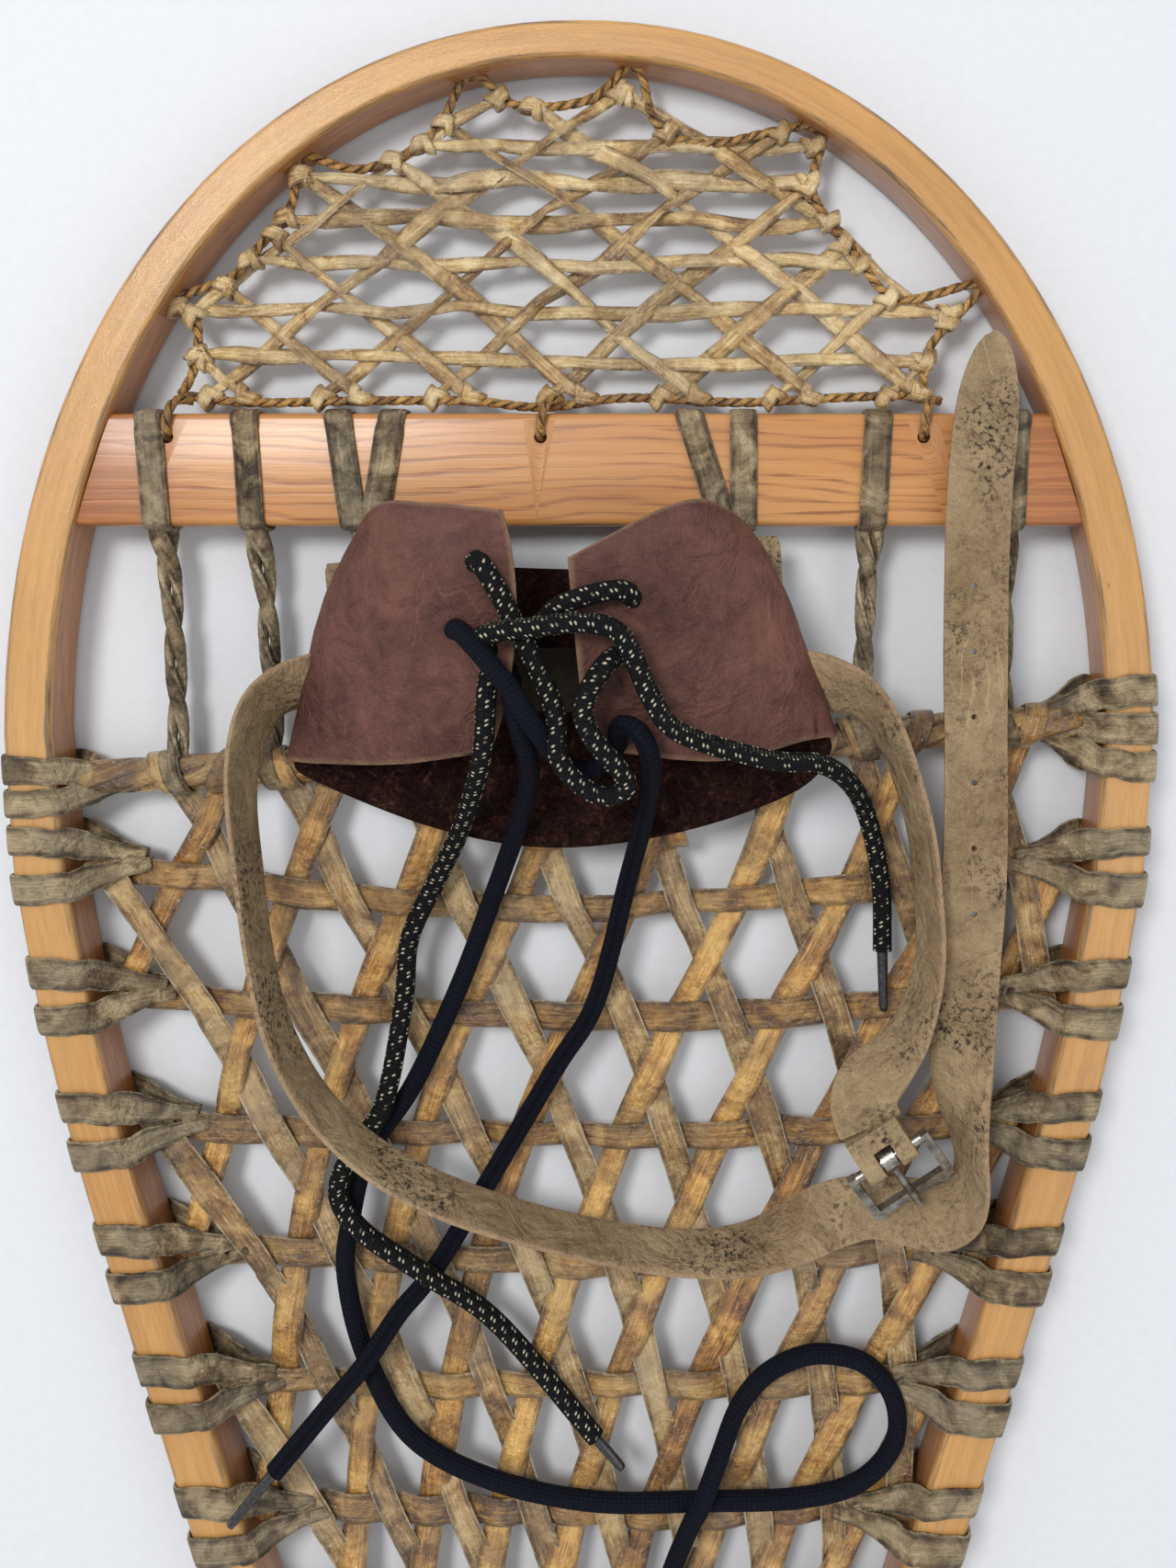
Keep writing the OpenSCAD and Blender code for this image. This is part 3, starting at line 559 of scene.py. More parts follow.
def lace(name, base, other, fleck=None):
    """Braided cord; fleck is the colour of its paired pale stitches."""
    s = Shader(name, 0.8)
    grain = s.attribute("grain")
    along, around, _ = s.split(grain)
    turn = s.times(around, 1 / MM)
    a = s.times(along, 2 * math.pi / LACE_RIB)
    b = s.times(turn, LACE_STRANDS)
    rib = s.times(s.math("SINE", s.plus(a, b)), s.math("SINE", s.minus(a, b)))
    fuzz = s.noise(s.place(), 1700, 4, 0.75)
    shade = s.plus(s.times(rib, 0.12), fuzz)
    yarn = s.ramp(shade, (0.3, tuple(c * 0.35 for c in base)), (0.66, other))
    if fleck:
        column = s.times(turn, LACE_STRANDS / (2 * math.pi))
        odd = s.times(s.math("MODULO", s.math("FLOOR", column), 2), 0.5)
        row = s.plus(s.times(along, 1 / LACE_FLECK), odd)
        u = s.minus(s.math("FRACT", row), 0.5)
        v = s.minus(s.math("FRACT", column), 0.5)
        lean = s.plus(u, s.times(v, 0.16))
        pair = s.minus(s.math("ABSOLUTE", lean), 0.13)
        far = s.plus(s.math("POWER", s.times(s.math("ABSOLUTE", pair), 13), 2),
                     s.math("POWER", s.times(s.math("ABSOLUTE", v), 3.4), 2))
        there = s.limits(s.noise(s.place(), 260, 2), 0.4, 0.5)
        yarn = s.mix(s.times(s.limits(far, 0.9, 0.5), there), yarn, fleck)
    s.colour(yarn)
    s.bump(s.plus(rib, s.times(fuzz, 1.5)), 0.8, 0.0003)
    s.surface.inputs["Specular IOR Level"].default_value = 0.15
    return s.material


def metal(name, dark, light, rough):
    s = Shader(name, rough)
    place = s.place()
    tarnish = s.noise(place, 120, 5, 0.65)
    scratch = s.noise(s.scaled(place, (300, 2500, 900)), 1, 3)
    s.colour(s.ramp(tarnish, (0.35, dark), (0.6, light)))
    s.roughness(s.limits(scratch, 0.35, 0.65, rough - 0.12, rough + 0.15))
    s.bump(scratch, 0.25, 0.0002)
    s.surface.inputs["Metallic"].default_value = 1.0
    return s.material


def aglet_look():
    s = Shader("aglet_sleeve", 0.25)
    place = s.place()
    braid = s.noise(place, 900, 3)
    s.colour(s.ramp(braid, (0.4, srgb(14, 14, 16)), (0.7, srgb(58, 56, 58))))
    s.bump(braid, 0.3, 0.0003)
    s.coat(0.6, 0.1)
    return s.material


def floor_look():
    s = Shader("pale_floor", 0.85)
    paper = s.noise(s.place(), 300, 4, 0.6)
    s.colour(s.ramp(paper, (0.3, (0.74, 0.75, 0.77)), (0.7, (0.77, 0.78, 0.80))))
    return s.material


WOOD = frame_wood()
BAR_WOOD = crossbar_wood()
AMBER_HIDE = rawhide("amber_rawhide", srgb(98, 58, 20), srgb(182, 126, 52), srgb(228, 180, 98),
                     srgb(156, 132, 94), 0.3, 1.0, 0.4)
CUPPED_HIDE = rawhide("cupped_rawhide", srgb(86, 54, 22), srgb(160, 120, 66), srgb(206, 174, 120),
                      srgb(180, 160, 124), 0.45, 0.9, 1.0)
ROW_HIDE = rawhide("row_rawhide", srgb(86, 54, 20), srgb(164, 118, 56), srgb(208, 166, 98),
                   srgb(156, 134, 98), 0.5, 0.9, 0.5)
GREY_HIDE = rawhide("weathered_rawhide", srgb(64, 48, 30), srgb(146, 122, 88), srgb(196, 174, 134),
                    srgb(166, 150, 122), 0.7, 0.15, 0.6, 1.0, 0.22)
PALE_HIDE = rawhide("pale_rawhide", srgb(122, 84, 38), srgb(204, 164, 100), srgb(240, 214, 162),
                    srgb(182, 162, 124), 0.4, 1.0, 0.5)
GUT = rawhide("lanyard_gut", srgb(96, 62, 24), srgb(180, 128, 56), srgb(218, 172, 98),
              srgb(130, 106, 72), 0.25, 0.5, 0.1)
BURGUNDY = leather("burgundy_leather", srgb(60, 31, 25), srgb(128, 84, 72), srgb(40, 18, 15),
                   900, 0.7, 0.55, 0.06)
SUEDE = suede()
TAN = leather("tan_leather", srgb(128, 104, 74), srgb(188, 164, 126), srgb(98, 72, 48),
              700, 0.8, 0.8, 0.0, srgb(44, 40, 32))
FLECKED = lace("flecked_lace", srgb(9, 9, 11), srgb(26, 26, 29), srgb(190, 184, 158))
NAVY = lace("navy_lace", srgb(5, 6, 11), srgb(19, 22, 37))
STEEL = metal("buckle_metal", srgb(90, 84, 76), srgb(186, 180, 168), 0.35)
RIVET = metal("rivet_metal", srgb(70, 56, 36), srgb(150, 122, 78), 0.4)
AGLET = aglet_look()


# ---- Camera ----

CAMERA_HEIGHT = 440
CAMERA_X, CAMERA_Y = 30, 415
LENS = 32.75
SENSOR = 36
SHIFT = (-0.056, -0.137)


def make_camera():
    data = bpy.data.cameras.new("camera")
    data.sensor_width = SENSOR
    data.lens = LENS
    data.shift_x, data.shift_y = SHIFT
    data.clip_start, data.clip_end = 0.01, 50
    camera = bpy.data.objects.new("camera", data)
    camera.location = (CAMERA_X * MM, CAMERA_Y * MM, (RAIL_TOP + CAMERA_HEIGHT) * MM)
    bpy.context.scene.collection.objects.link(camera)
    bpy.context.scene.camera = camera


make_camera()

# ---- Laces ----

FLECKED_ROUTE = [
    (5, 144, LACE_Z), (-26, 180, LACE_Z), (-47, 198, 22.6), (-66, 211, 22.8), (-74, 223, 22.8),
    (-69, 237, 22.8), (-60, 250, 22.4), (-55, 280, LACE_Z), (-53, 300, LACE_Z), (-44, 319, 19),
    (-34, 339, 31), (-26, 361, 49.5), (-24, 380, 55), (-24, 389, 47), (-28, 410, 47),
    (-26, 417, 55), (-14.5, 397, 55.5), (-5, 376, 55), (-3.5, 362, 55.5), (2, 354, 54),
    (10, 350, 52.5), (16, 354, 53.5), (6, 368, 58.5), (4, 377, 59.5), (10, 388, 58.5),
    (17, 393, 50), (18, 402, 47.5), (15, 409, 56), (-1, 405.5, 58), (-12, 397, 46.5),
    (-22, 391.5, 48), (-25, 396, 57), (-8, 399, 62), (5, 400, 62), (15, 396, 61.5),
    (23, 379, 60), (31.5, 368.5, 57.5), (57, 360, 50.5), (72, 358, 43), (82, 351, 32),
    (89, 339, 21.5), (94, 318, LACE_Z), (94.5, 296, LACE_Z),
]
NAVY_ROUTE = [
    (6, 10, LACE_Z), (14, 48, LACE_Z), (26, 94, LACE_Z), (34, 118, 20.5), (38, 127, 22.6),
    (43, 139, 20.5), (50, 154, LACE_Z), (60, 165, LACE_Z), (74, 170, LACE_Z), (89, 167, LACE_Z),
    (98, 156, LACE_Z), (98, 142, LACE_Z), (87, 130, LACE_Z), (68, 125, LACE_Z), (38, 124, LACE_Z),
    (4, 124, LACE_Z), (-28, 131, LACE_Z), (-53, 145, LACE_Z), (-67, 170, LACE_Z), (-73, 195, LACE_Z),
    (-71.5, 212, LACE_Z), (-66, 233, LACE_Z), (-52, 254, LACE_Z), (-38, 284, LACE_Z), (-27, 313, LACE_Z),
    (-17, 340, 30), (-13, 356, 43), (-15, 369, 52), (-17, 378, 53), (-19, 385, 45),
    (-27, 391, 39.5), (-34, 396, 46), (-31, 397, 56), (-18, 383, 60.5), (-10.5, 371, 58),
    (-4, 360, 48), (4, 356, 42.5), (12, 362, 43), (14, 370, 52), (20, 368, 55.5),
    (23, 357, 49.5), (20, 338, 30), (15, 318, 18), (5, 280, LACE_Z), (-9, 257, LACE_Z),
    (-43, 200, LACE_Z), (-56, 184, 19), (-66, 170, 22.6), (-76, 158, 21.8), (-93, 138.5, 25),
]


def make_aglet(name, inner, end, length):
    d = unit(np.asarray(end, float) - np.asarray(inner, float))
    end = np.asarray(end, float)
    profile = [
        (-1.5, 4.6), (-0.2, 4.4), (0.6, 3.5), (length * 0.5, 3.2), (length * 0.9, 3.0),
        (length - 0.3, 2.6), (length, 1.6),
    ]
    path = np.array([end + d * t for t, _ in profile])
    mesh = Mesh(name + "_sleeve")
    cord(mesh, path, [w for _, w in profile], 16)
    return mesh.build([AGLET], node=name)


def make_lace(name, route, material, lengths_of_aglets):
    path = smooth_path(route, 1.6)
    mesh = Mesh(name + "_cord")
    cord(mesh, path, LACE_D, 14)
    piece = mesh.build([material], node=name)
    aglets = [
        make_aglet(name.replace("lace", "aglet_left"), route[1], route[0], lengths_of_aglets[0]),
        make_aglet(name.replace("lace", "aglet_right"), route[-2], route[-1], lengths_of_aglets[1]),
    ]


make_lace("flecked_lace", FLECKED_ROUTE, FLECKED, (13, 19))
make_lace("navy_lace", NAVY_ROUTE, NAVY, (19, 20))


# ---- Frame ----

ARRIS = 1.8
CORNER_STEPS = 4


def rail_section(outer, inner):
    """The rail's rounded section between an outer and an inner point, and how near each is to an arris."""
    across = inner - outer
    width = np.linalg.norm(across)
    across = across / width
    z0, z1 = RAIL_BOTTOM, RAIL_TOP
    corners = [
        ((width, z1), (-1, -1), 0), ((0, z1), (1, -1), 90),
        ((0, z0), (1, 1), 180), ((width, z0), (-1, 1), 270),
    ]
    points, rim, local = [], [], []
    r = min(ARRIS, width * 0.3)
    for (cu, cz), (du, dz), start in corners:
        for k in range(CORNER_STEPS + 1):
            a = math.radians(start + 90 * k / CORNER_STEPS)
            u, z = cu + du * r + r * math.cos(a), cz + dz * r + r * math.sin(a)
            points.append((*(outer + across * u), z))
            local.append((u, z))
            rim.append(1.0 if 0 < k < CORNER_STEPS else 0.25)
    return points, rim, local


def make_frame():
    fine_outer = half_outline(HALF_WIDTH, TOE_LENGTH, 1, TAIL_ENDS, 8)
    fine_inner = half_outline(INNER_A, INNER_B, 2, [(0.2, y) for _, y in TAIL_ENDS], 8)
    fine_inner[:, 0] = np.maximum(fine_inner[:, 0], 0.2)
    mirror = np.array([-1, 1])
    left = [(o * mirror, i * mirror) for o, i in zip(fine_outer[::-1], fine_inner[::-1])]
    right = list(zip(fine_outer[1:], fine_inner[1:]))
    stations = left + right
    rings, rims, locals_ = zip(*(rail_section(o, i) for o, i in stations))
    rings = np.array(rings)
    s = lengths(rings[:, 0, :])
    local = np.array(locals_)
    grain = np.stack([np.repeat(s[:, None], rings.shape[1], 1), local[..., 0], local[..., 1] * MM], axis=-1)
    mesh = Mesh("bent_frame")
    mesh.rings(rings, grain, np.array(rims))
    piece = mesh.build([WOOD], node="frame_rail")
    cut_holes(piece, [(hole_place(t), hole_direction(t), 4.2, 40) for t in LANYARD_ANGLES])


def signed_point(t):
    x, y = superellipse(INNER_A, INNER_B, math.radians(abs(t)))
    return np.array([math.copysign(x, t), y])


def rail_normal(t):
    p = signed_point(t)
    return unit([p[0] / INNER_A ** 2, (p[1] - SHOULDER_Y) / INNER_B ** 2])


LANYARD_ANGLES = (-51, -31.5, -11.5, 5.5, 26, 49)


def hole_place(t):
    return (*signed_point(t), CORD_Z)


def hole_direction(t):
    return (*rail_normal(t), 0)


def cut_holes(piece, holes):
    """Bores holes, each (middle, direction, diameter, length) in millimetres, through a piece."""
    tool = bmesh.new()
    for middle, direction, diameter, length in holes:
        turn = Vector(direction).to_track_quat("Z", "Y").to_matrix().to_4x4()
        turn.translation = Vector(middle) * MM
        bmesh.ops.create_cone(tool, cap_ends=True, segments=20, radius1=diameter / 2 * MM,
                              radius2=diameter / 2 * MM, depth=length * MM, matrix=turn)
    data = bpy.data.meshes.new(piece.name + "_cutter")
    tool.to_mesh(data)
    tool.free()
    cutter = bpy.data.objects.new(data.name, data)
    bpy.context.scene.collection.objects.link(cutter)
    cut = piece.modifiers.new("holes", "BOOLEAN")
    cut.operation, cut.solver, cut.object = "DIFFERENCE", "EXACT", cutter
    bpy.context.view_layer.update()
    cut_mesh = bpy.data.meshes.new_from_object(piece.evaluated_get(bpy.context.evaluated_depsgraph_get()))
    piece.modifiers.clear()
    cut_mesh.set_sharp_from_angle(angle=math.radians(35))
    piece.data = cut_mesh
    bpy.data.objects.remove(cutter)


make_frame()


def make_crossbar(name, node, y, holes):
    """A bar across the frame with rounded arrises, its ends let into the rails."""
    rows = np.linspace(-1, 1, 60)
    r, half = 2.2, BAR_WIDTH / 2
    section = []
    corners = [
        ((half, BAR_TOP), (-1, -1), 0), ((-half, BAR_TOP), (1, -1), 90),
        ((-half, BAR_BOTTOM), (1, 1), 180), ((half, BAR_BOTTOM), (-1, 1), 270),
    ]
    for (cy, cz), (dy, dz), start in corners:
        for k in range(5):
            a = math.radians(start + 90 * k / 4)
            section.append((cy + dy * r + r * math.cos(a), cz + dz * r + r * math.sin(a)))
    section = np.array(section)
    reach = inner_width(y + section[:, 0])
    rings = np.stack([rows[:, None] * reach[None, :], np.repeat(y + section[None, :, 0], 60, 0),
                      np.repeat(section[None, :, 1], 60, 0)], axis=-1)
    grain = np.stack([rings[..., 0] + 400, rings[..., 1] - y + 60, rings[..., 2] * MM], axis=-1)
    mesh = Mesh(name)
    mesh.rings(rings, grain, np.zeros(rings.shape[:2]))
    piece = mesh.build([BAR_WOOD], node=node)
    if holes:
        cut_holes(piece, [((x, y + 10, 13), (0, 0, 1), 4, 30) for x in holes])


BAR_HOLES = (-128, -12, 107)
make_crossbar("front_bar", "front_crossbar", FRONT_BAR_Y, BAR_HOLES)
make_crossbar("rear_bar", "rear_crossbar", REAR_BAR_Y, ())


# ---- Body lacing ----

def row_y(i):
    return FIRST_ROW_Y - ROW_PITCH * i


def row_sag(i):
    return 3 + 12 * 0.5 ** i


# Where diagonal 0 of each family starts, in half widths from the middle
FALLING_START, RISING_START = -0.02, 0.0911


def across_u(k, i, way):
    return (k + way * i / 2) * COLUMN_PITCH + (FALLING_START if way > 0 else RISING_START)


# The toe cord's x values and the y at each
TOE_CORD_LINE = [-160, -110, -40, 40, 110, 160], [349, 352, 355, 357, 364, 367]


def toe_cord_y(x):
    return np.interp(x, *TOE_CORD_LINE)


def row_place(u, i):
    """A point at u half widths across on row i, which may lie between rows. Row -1 is the toe cord."""
    if i < 0:
        x = u * inner_width(352)
        y0 = row_y(0) - row_sag(0) * (1 - u * u)
        y = y0 + (toe_cord_y(x) - y0) * min(-i, 1)
        return np.array([u * inner_width(y), y])
    last = ROW_COUNT - 1
    if i > last:
        y0 = row_y(last) - row_sag(last) * (1 - u * u)
        y = y0 + (REAR_BAR_Y + BAR_WIDTH / 2 - y0) * min(i - last, 1)
        return np.array([u * inner_width(y), y])
    low = int(math.floor(i))
    t = i - low
    y0, y1 = (row_y(k) - row_sag(k) * (1 - u * u) for k in (low, low + 1))
    y = y0 * (1 - t) + y1 * t
    return np.array([u * inner_width(y), y])


WEAVE_RISE = 1.25
HIDE_THICK = 1.6
EDGE_U = 0.9


def wobble(rng, n, size):
    """A slow random drift over n points."""
    knots = [rng.uniform(-size, size) for _ in range(max(3, n // 12))]
    return np.interp(np.linspace(0, len(knots) - 1, n), range(len(knots)), knots)


def diagonal_run(k, way):
    """The row numbers between which diagonal k lies inside the frame."""
    rows = [i for i in range(-1, ROW_COUNT + 1) if abs(across_u(k, i, way)) <= EDGE_U]
    return (rows[0], rows[-1]) if len(rows) > 1 else None


def make_diagonals(mesh, way, width, cup):
    rng = mesh.seed
    for k in range(-14, 15):
        run = diagonal_run(k, way)
        if not run:
            continue
        steps = np.arange(run[0], run[1] + 0.01, 0.125)
        points = []
        drift = wobble(rng, len(steps), 0.010)
        for t, d in zip(steps, drift):
            u = across_u(k, t, way) + d
            x, y = row_place(u, t)
            z = WEAVE_Z + way * WEAVE_RISE * math.cos(2 * math.pi * t)
            points.append((x, y, z))
        for end, row in ((0, run[0] - 1), (-1, run[1] + 1)):
            u = across_u(k, row, way)
            if -1 <= row <= ROW_COUNT and abs(u) > EDGE_U:
                side = math.copysign(0.955, u)
                x, y = row_place(side, row)
                tip = (x, y + (3 if end == 0 else -3), WEAVE_Z + 2.2)
                points = [tip] + points if end == 0 else points + [tip]
        path = smooth_path(points, 2.2)
        n = len(path)
        strip(mesh, path, (way * -0.93, -0.37, 0), width * (1 + wobble(rng, n, 0.16)), HIDE_THICK, cup,
              tone=rng.uniform(0.25, 0.8), roundness=0.6, start=rng.uniform(0, 500))


def make_rows(mesh):
    rng = mesh.seed
    for i in range(ROW_COUNT):
        points = []
        for u in np.arange(-0.9, 0.901, 0.0185):
            x, y = row_place(u, i)
            turn = 2 * math.pi * (u - across_u(0, i, -1)) / COLUMN_PITCH
            points.append((x, y, WEAVE_Z + WEAVE_RISE * math.cos(turn)))
        path = smooth_path(points, 2.2)
        path[:, 1] += wobble(rng, len(path), 1.4)
        strip(mesh, path, (0, 1, 0), 8.6 * (1 + wobble(rng, len(path), 0.16)), HIDE_THICK, 0.3,
              tone=rng.uniform(0.2, 0.7), roundness=0.6, start=rng.uniform(0, 500))


def make_body_lacing():
    mesh = Mesh("woven_rows")
    make_rows(mesh)
    mesh.build([ROW_HIDE], node="body_lacing")
    mesh = Mesh("woven_diagonals_flat")
    make_diagonals(mesh, -1, 8.8, 0.5)
    mesh.build([AMBER_HIDE], node="body_lacing")
    mesh = Mesh("woven_diagonals_cupped")
    make_diagonals(mesh, 1, 8.6, 1.7)
    mesh.build([CUPPED_HIDE], node="body_lacing")


make_body_lacing()


# ---- Rawhide round the rails ----

# Half a band's thickness and a little more, its thickness, and how far inside the rail it leaves the lacing
BAND_GAP = 0.85
BAND_THICK = 1.5
BAND_LEAVES = 23


def rail_band(mesh, side, y_band, y_row, width, tone):
    """A band that leaves the lacing, goes over the rail and comes back under it."""
    xi, xo = inner_width(y_band), outer_width(y_band)
    slant = (outer_width(y_band + 5) - outer_width(y_band - 5)) / 10
    y_top = y_band + (y_band - y_row) * 0.12
    top, low = RAIL_TOP + BAND_GAP, RAIL_BOTTOM - BAND_GAP
    start = y_row + (y_band - y_row) * 0.2
    part = y_row + (y_band - y_row) * 0.72
    between = start + (part - start) * 0.4
    outside = xo + BAND_GAP
    loop = [
        (xi - BAND_LEAVES, start, WEAVE_Z + 1.2), (xi - 15, between, WEAVE_Z + 3), (xi - 6.5, part, 16.5),
        (xi - 2, y_band, 20.2), (xi + 0.6, y_band, top - 0.1), (xi + 3, y_band, top),
        ((xi + xo) / 2, y_top, top + 0.1), (xo - 2.5, y_top, top), (xo - 0.2, y_top, top - 0.7),
        (outside, y_top, RAIL_TOP - 2.4), (outside, y_top, CORD_Z), (outside, y_top, RAIL_BOTTOM + 2.4),
        (xo - 0.4, y_band, low + 0.5), (xo - 3, y_band, low), (xi + 3, y_band, low),
        (xi, y_band, low + 0.6), (xi - 3, y_band, 4.2), (xi - 8, part, 6.4), (xi - 15, between, 8.2),
        (xi - BAND_LEAVES, start, WEAVE_Z - 1.2),
    ]
    path = catmull(loop, 5)
    path[:, 2] = np.maximum(path[:, 2], low)
    narrowing = np.interp(path[:, 0], [xi - BAND_LEAVES, xi - 14, xi - 4], [0.45, 0.55, 1.05])
    wide = width * np.where(path[:, 0] > xi - 6, 1, narrowing)
    path[:, 0] *= side
    wide = wide * (1 + wobble(mesh.seed, len(path), 0.08))
    strip(mesh, path, (side * slant, 1, 0), wide, BAND_THICK, tone=tone, roundness=0.5,
          start=mesh.seed.uniform(0, 400))


def row_end(mesh, side, i):
    """The twist between the rail and the woven part of a row."""
    y = row_y(i)
    reach = inner_width(y)
    line = [(reach - 10, y, WEAVE_Z), (reach - 20, y - 0.5, WEAVE_Z + 0.4), (reach * 0.88, y - 1, WEAVE_Z)]
    path = smooth_path([(side * x, y, z) for x, y, z in line], 1)
    twist(mesh, path, 6.4, 34, 2, tone=0.5, phase=i)


def make_rail_wraps(side, name, node, widths):
    mesh = Mesh(name)
    for i in range(ROW_COUNT):
        for sign, width in ((1, widths[0]), (-1, widths[1])):
            y = row_y(i) + sign * 6.6 + mesh.seed.uniform(-0.6, 0.6)
            rail_band(mesh, side, y, row_y(i), width, mesh.seed.uniform(0.3, 0.8))
        row_end(mesh, side, i)
    mesh.build([GREY_HIDE], node=node)


make_rail_wraps(-1, "left_wraps", "left_rail_wraps", (9.6, 9.2))
make_rail_wraps(1, "right_wraps", "right_rail_wraps", (9.2, 10.2))


def make_toe_cord_wrap(side, name, node, bands):
    mesh = Mesh(name)
    for y, width in bands:
        rail_band(mesh, side, y, toe_cord_y(side * 160), width, mesh.seed.uniform(0.3, 0.8))
    mesh.build([GREY_HIDE], node=node)


make_toe_cord_wrap(-1, "toe_cord_left_bands", "toe_cord_left_wrap", ((343.2, 8.6), (352.6, 9)))
make_toe_cord_wrap(1, "toe_cord_right_bands", "toe_cord_right_wrap",
                   ((355.5, 9.5), (366, 9.5), (376.5, 9.5)))


TOE_CORD_WAY = (1, 0.05, 0)


def make_toe_cord():
    """A bundle of strands between the rails, bound round by the lacing that hangs from it."""
    ends = [-157, -110, -40, 40, 110, 157]
    line = catmull([(x, y, CORD_Z) for x, y in zip(ends, TOE_CORD_LINE[1])], 12)
    mesh = Mesh("toe_cord_strands")
    twist(mesh, line, 10.2, 95, 5, tone=0.3, flat=0.62, spread=0.3)
    mesh.build([ROW_HIDE], node="toe_cord")
    loops = Mesh("toe_cord_loops")
    for k in range(-14, 15):
        for way in (-1, 1):
            u = across_u(k, -1, way)
            if abs(u) > EDGE_U:
                continue
            x = u * inner_width(352)
            tone = loops.seed.uniform(0.3, 0.8)
            ring_round(loops, (x, toe_cord_y(x), CORD_Z), TOE_CORD_WAY, 6.4, 7.2, tone, lean=way * 0.45)
    loops.build([ROW_HIDE], node="toe_cord")


def ring_round(mesh, centre, axis, radius, width, tone, lean, thick=1.4):
    """A band round a cord whose line is axis, leaning along it by lean from top to bottom."""
    axis = unit(axis)
    up = np.array([0, 0, 1.0])
    out = unit(np.cross(axis, up))
    angles = np.linspace(0, 2 * math.pi, 28, endpoint=False)
    leaning = out + axis * lean
    points = np.array([centre + (leaning * math.cos(a) + up * math.sin(a)) * radius for a in angles])
    strip(mesh, points, axis, width, thick, tone=tone, closed=True)


make_toe_cord()


# ---- Hitches on the crossbars ----

def bar_loop(mesh, x_front, x_rear, y, width, tone):
    """A band round a crossbar, slanting from x_front to x_rear."""
    half = BAR_WIDTH / 2
    top, low, face = BAR_TOP + BAND_GAP, BAR_BOTTOM - BAND_GAP, half + BAND_GAP
    middle = (BAR_TOP + BAR_BOTTOM) / 2
    front = [(half - 3, top), (half - 0.6, top - 0.3), (face, BAR_TOP - 2.6), (face, middle),
             (face, BAR_BOTTOM + 2.6), (half - 0.6, low + 0.3), (half - 3, low)]
    section = front + [(0, low)] + [(-v, z) for v, z in front[::-1]] + [(0, top)]
    x_middle, slant = (x_front + x_rear) / 2, (x_front - x_rear) / BAR_WIDTH
    points = [(x_middle + slant * v, y + v, z) for v, z in section]
    closed = catmull(points + points[:1], 4)[:-1]
    wide = width * (1 + wobble(mesh.seed, len(closed), 0.06))
    strip(mesh, closed, (1, 0, 0), wide, BAND_THICK, tone=tone, roundness=0.5, closed=True)


def hitch_strand(mesh, x_top, x_low, d, phase):
    start = FRONT_BAR_Y - BAR_WIDTH / 2
    cord_y = float(toe_cord_y(x_low))
    path = smooth_path([
        (x_top, start + 2, 13), (x_top, start - 4, 12.5), ((x_top + x_low) / 2, start - 22, 11.5),
        (x_low, cord_y + 16, 11.5), (x_low, cord_y + 4, 13),
    ], 1.5)
    n = len(path)
    wide = np.interp(np.arange(n), [0, n * 0.18, n * 0.3, n], [d * 1.5, d * 1.2, d, d])
    twist(mesh, path, wide, 46, tone=0.4, phase=phase, flat=0.72)
    ring_round(mesh, (x_low, cord_y, CORD_Z), TOE_CORD_WAY, 6.6, 6.5, 0.5, lean=0.3)


def make_hitch(node, bands, x_top, x_low, d=6.4, phase=0.0):
    mesh = Mesh(node + "_rawhide")
    for x_front, x_rear in bands:
        bar_loop(mesh, x_front, x_rear, FRONT_BAR_Y, 8.6, mesh.seed.uniform(0.35, 0.75))
    hitch_strand(mesh, x_top, x_low, d, phase)
    mesh.build([GREY_HIDE], node=node)


make_hitch("hitch_left_outer", [(-134, -131)], -131, -127, phase=0.4)
make_hitch("hitch_left_inner", [(-104, -101.5)], -101.5, -97, phase=1.3)
make_hitch("hitch_left_pair", [(-75, -70), (-58, -63.5)], -67, -68, 7.2, phase=2.1)
make_hitch("hitch_right_pair", [(34, 45), (51, 51)], 48, 49, 7.2, phase=0.2)
make_hitch("hitch_right_inner", [(93, 91)], 91, 89, phase=2.6)
make_hitch("hitch_right_outer", [(136, 134)], 134, 133, phase=1.0)


def make_rear_hitches():
    mesh = Mesh("rear_bar_bands")
    for x in (-36, -18, 0, 18, 36):
        bar_loop(mesh, x + 1, x - 1, REAR_BAR_Y, 8.4, mesh.seed.uniform(0.3, 0.8))
    mesh.build([GREY_HIDE], node="rear_hitches")


make_rear_hitches()

# ---- Toe lanyard and toe lacing ----


def hole_mouth(t, out=1.5):
    return tuple(signed_point(t) + out * rail_normal(t))


LANYARD = [
    (-126, 470), (-122, 478), (-121, 492), hole_mouth(-51), (-110, 507), (-101, 517), (-91, 530),
    hole_mouth(-31.5), (-69, 541), (-47, 551), hole_mouth(-11.5), (-20, 561), (3, 563), hole_mouth(5.5),
    (24, 555), (41, 549), hole_mouth(26), (73, 534), (86, 515), (100, 500), hole_mouth(49),
    (110, 485), (108, 470),
]
LANYARD_FOOT = [
    (-126, 470), (-105, 467.5), (-70, 468), (-35, 468), (-12, 466),
    (15, 469), (50, 467.5), (80, 469), (108, 470),
]
LANYARD_D, LANYARD_PITCH = 3.0, 9


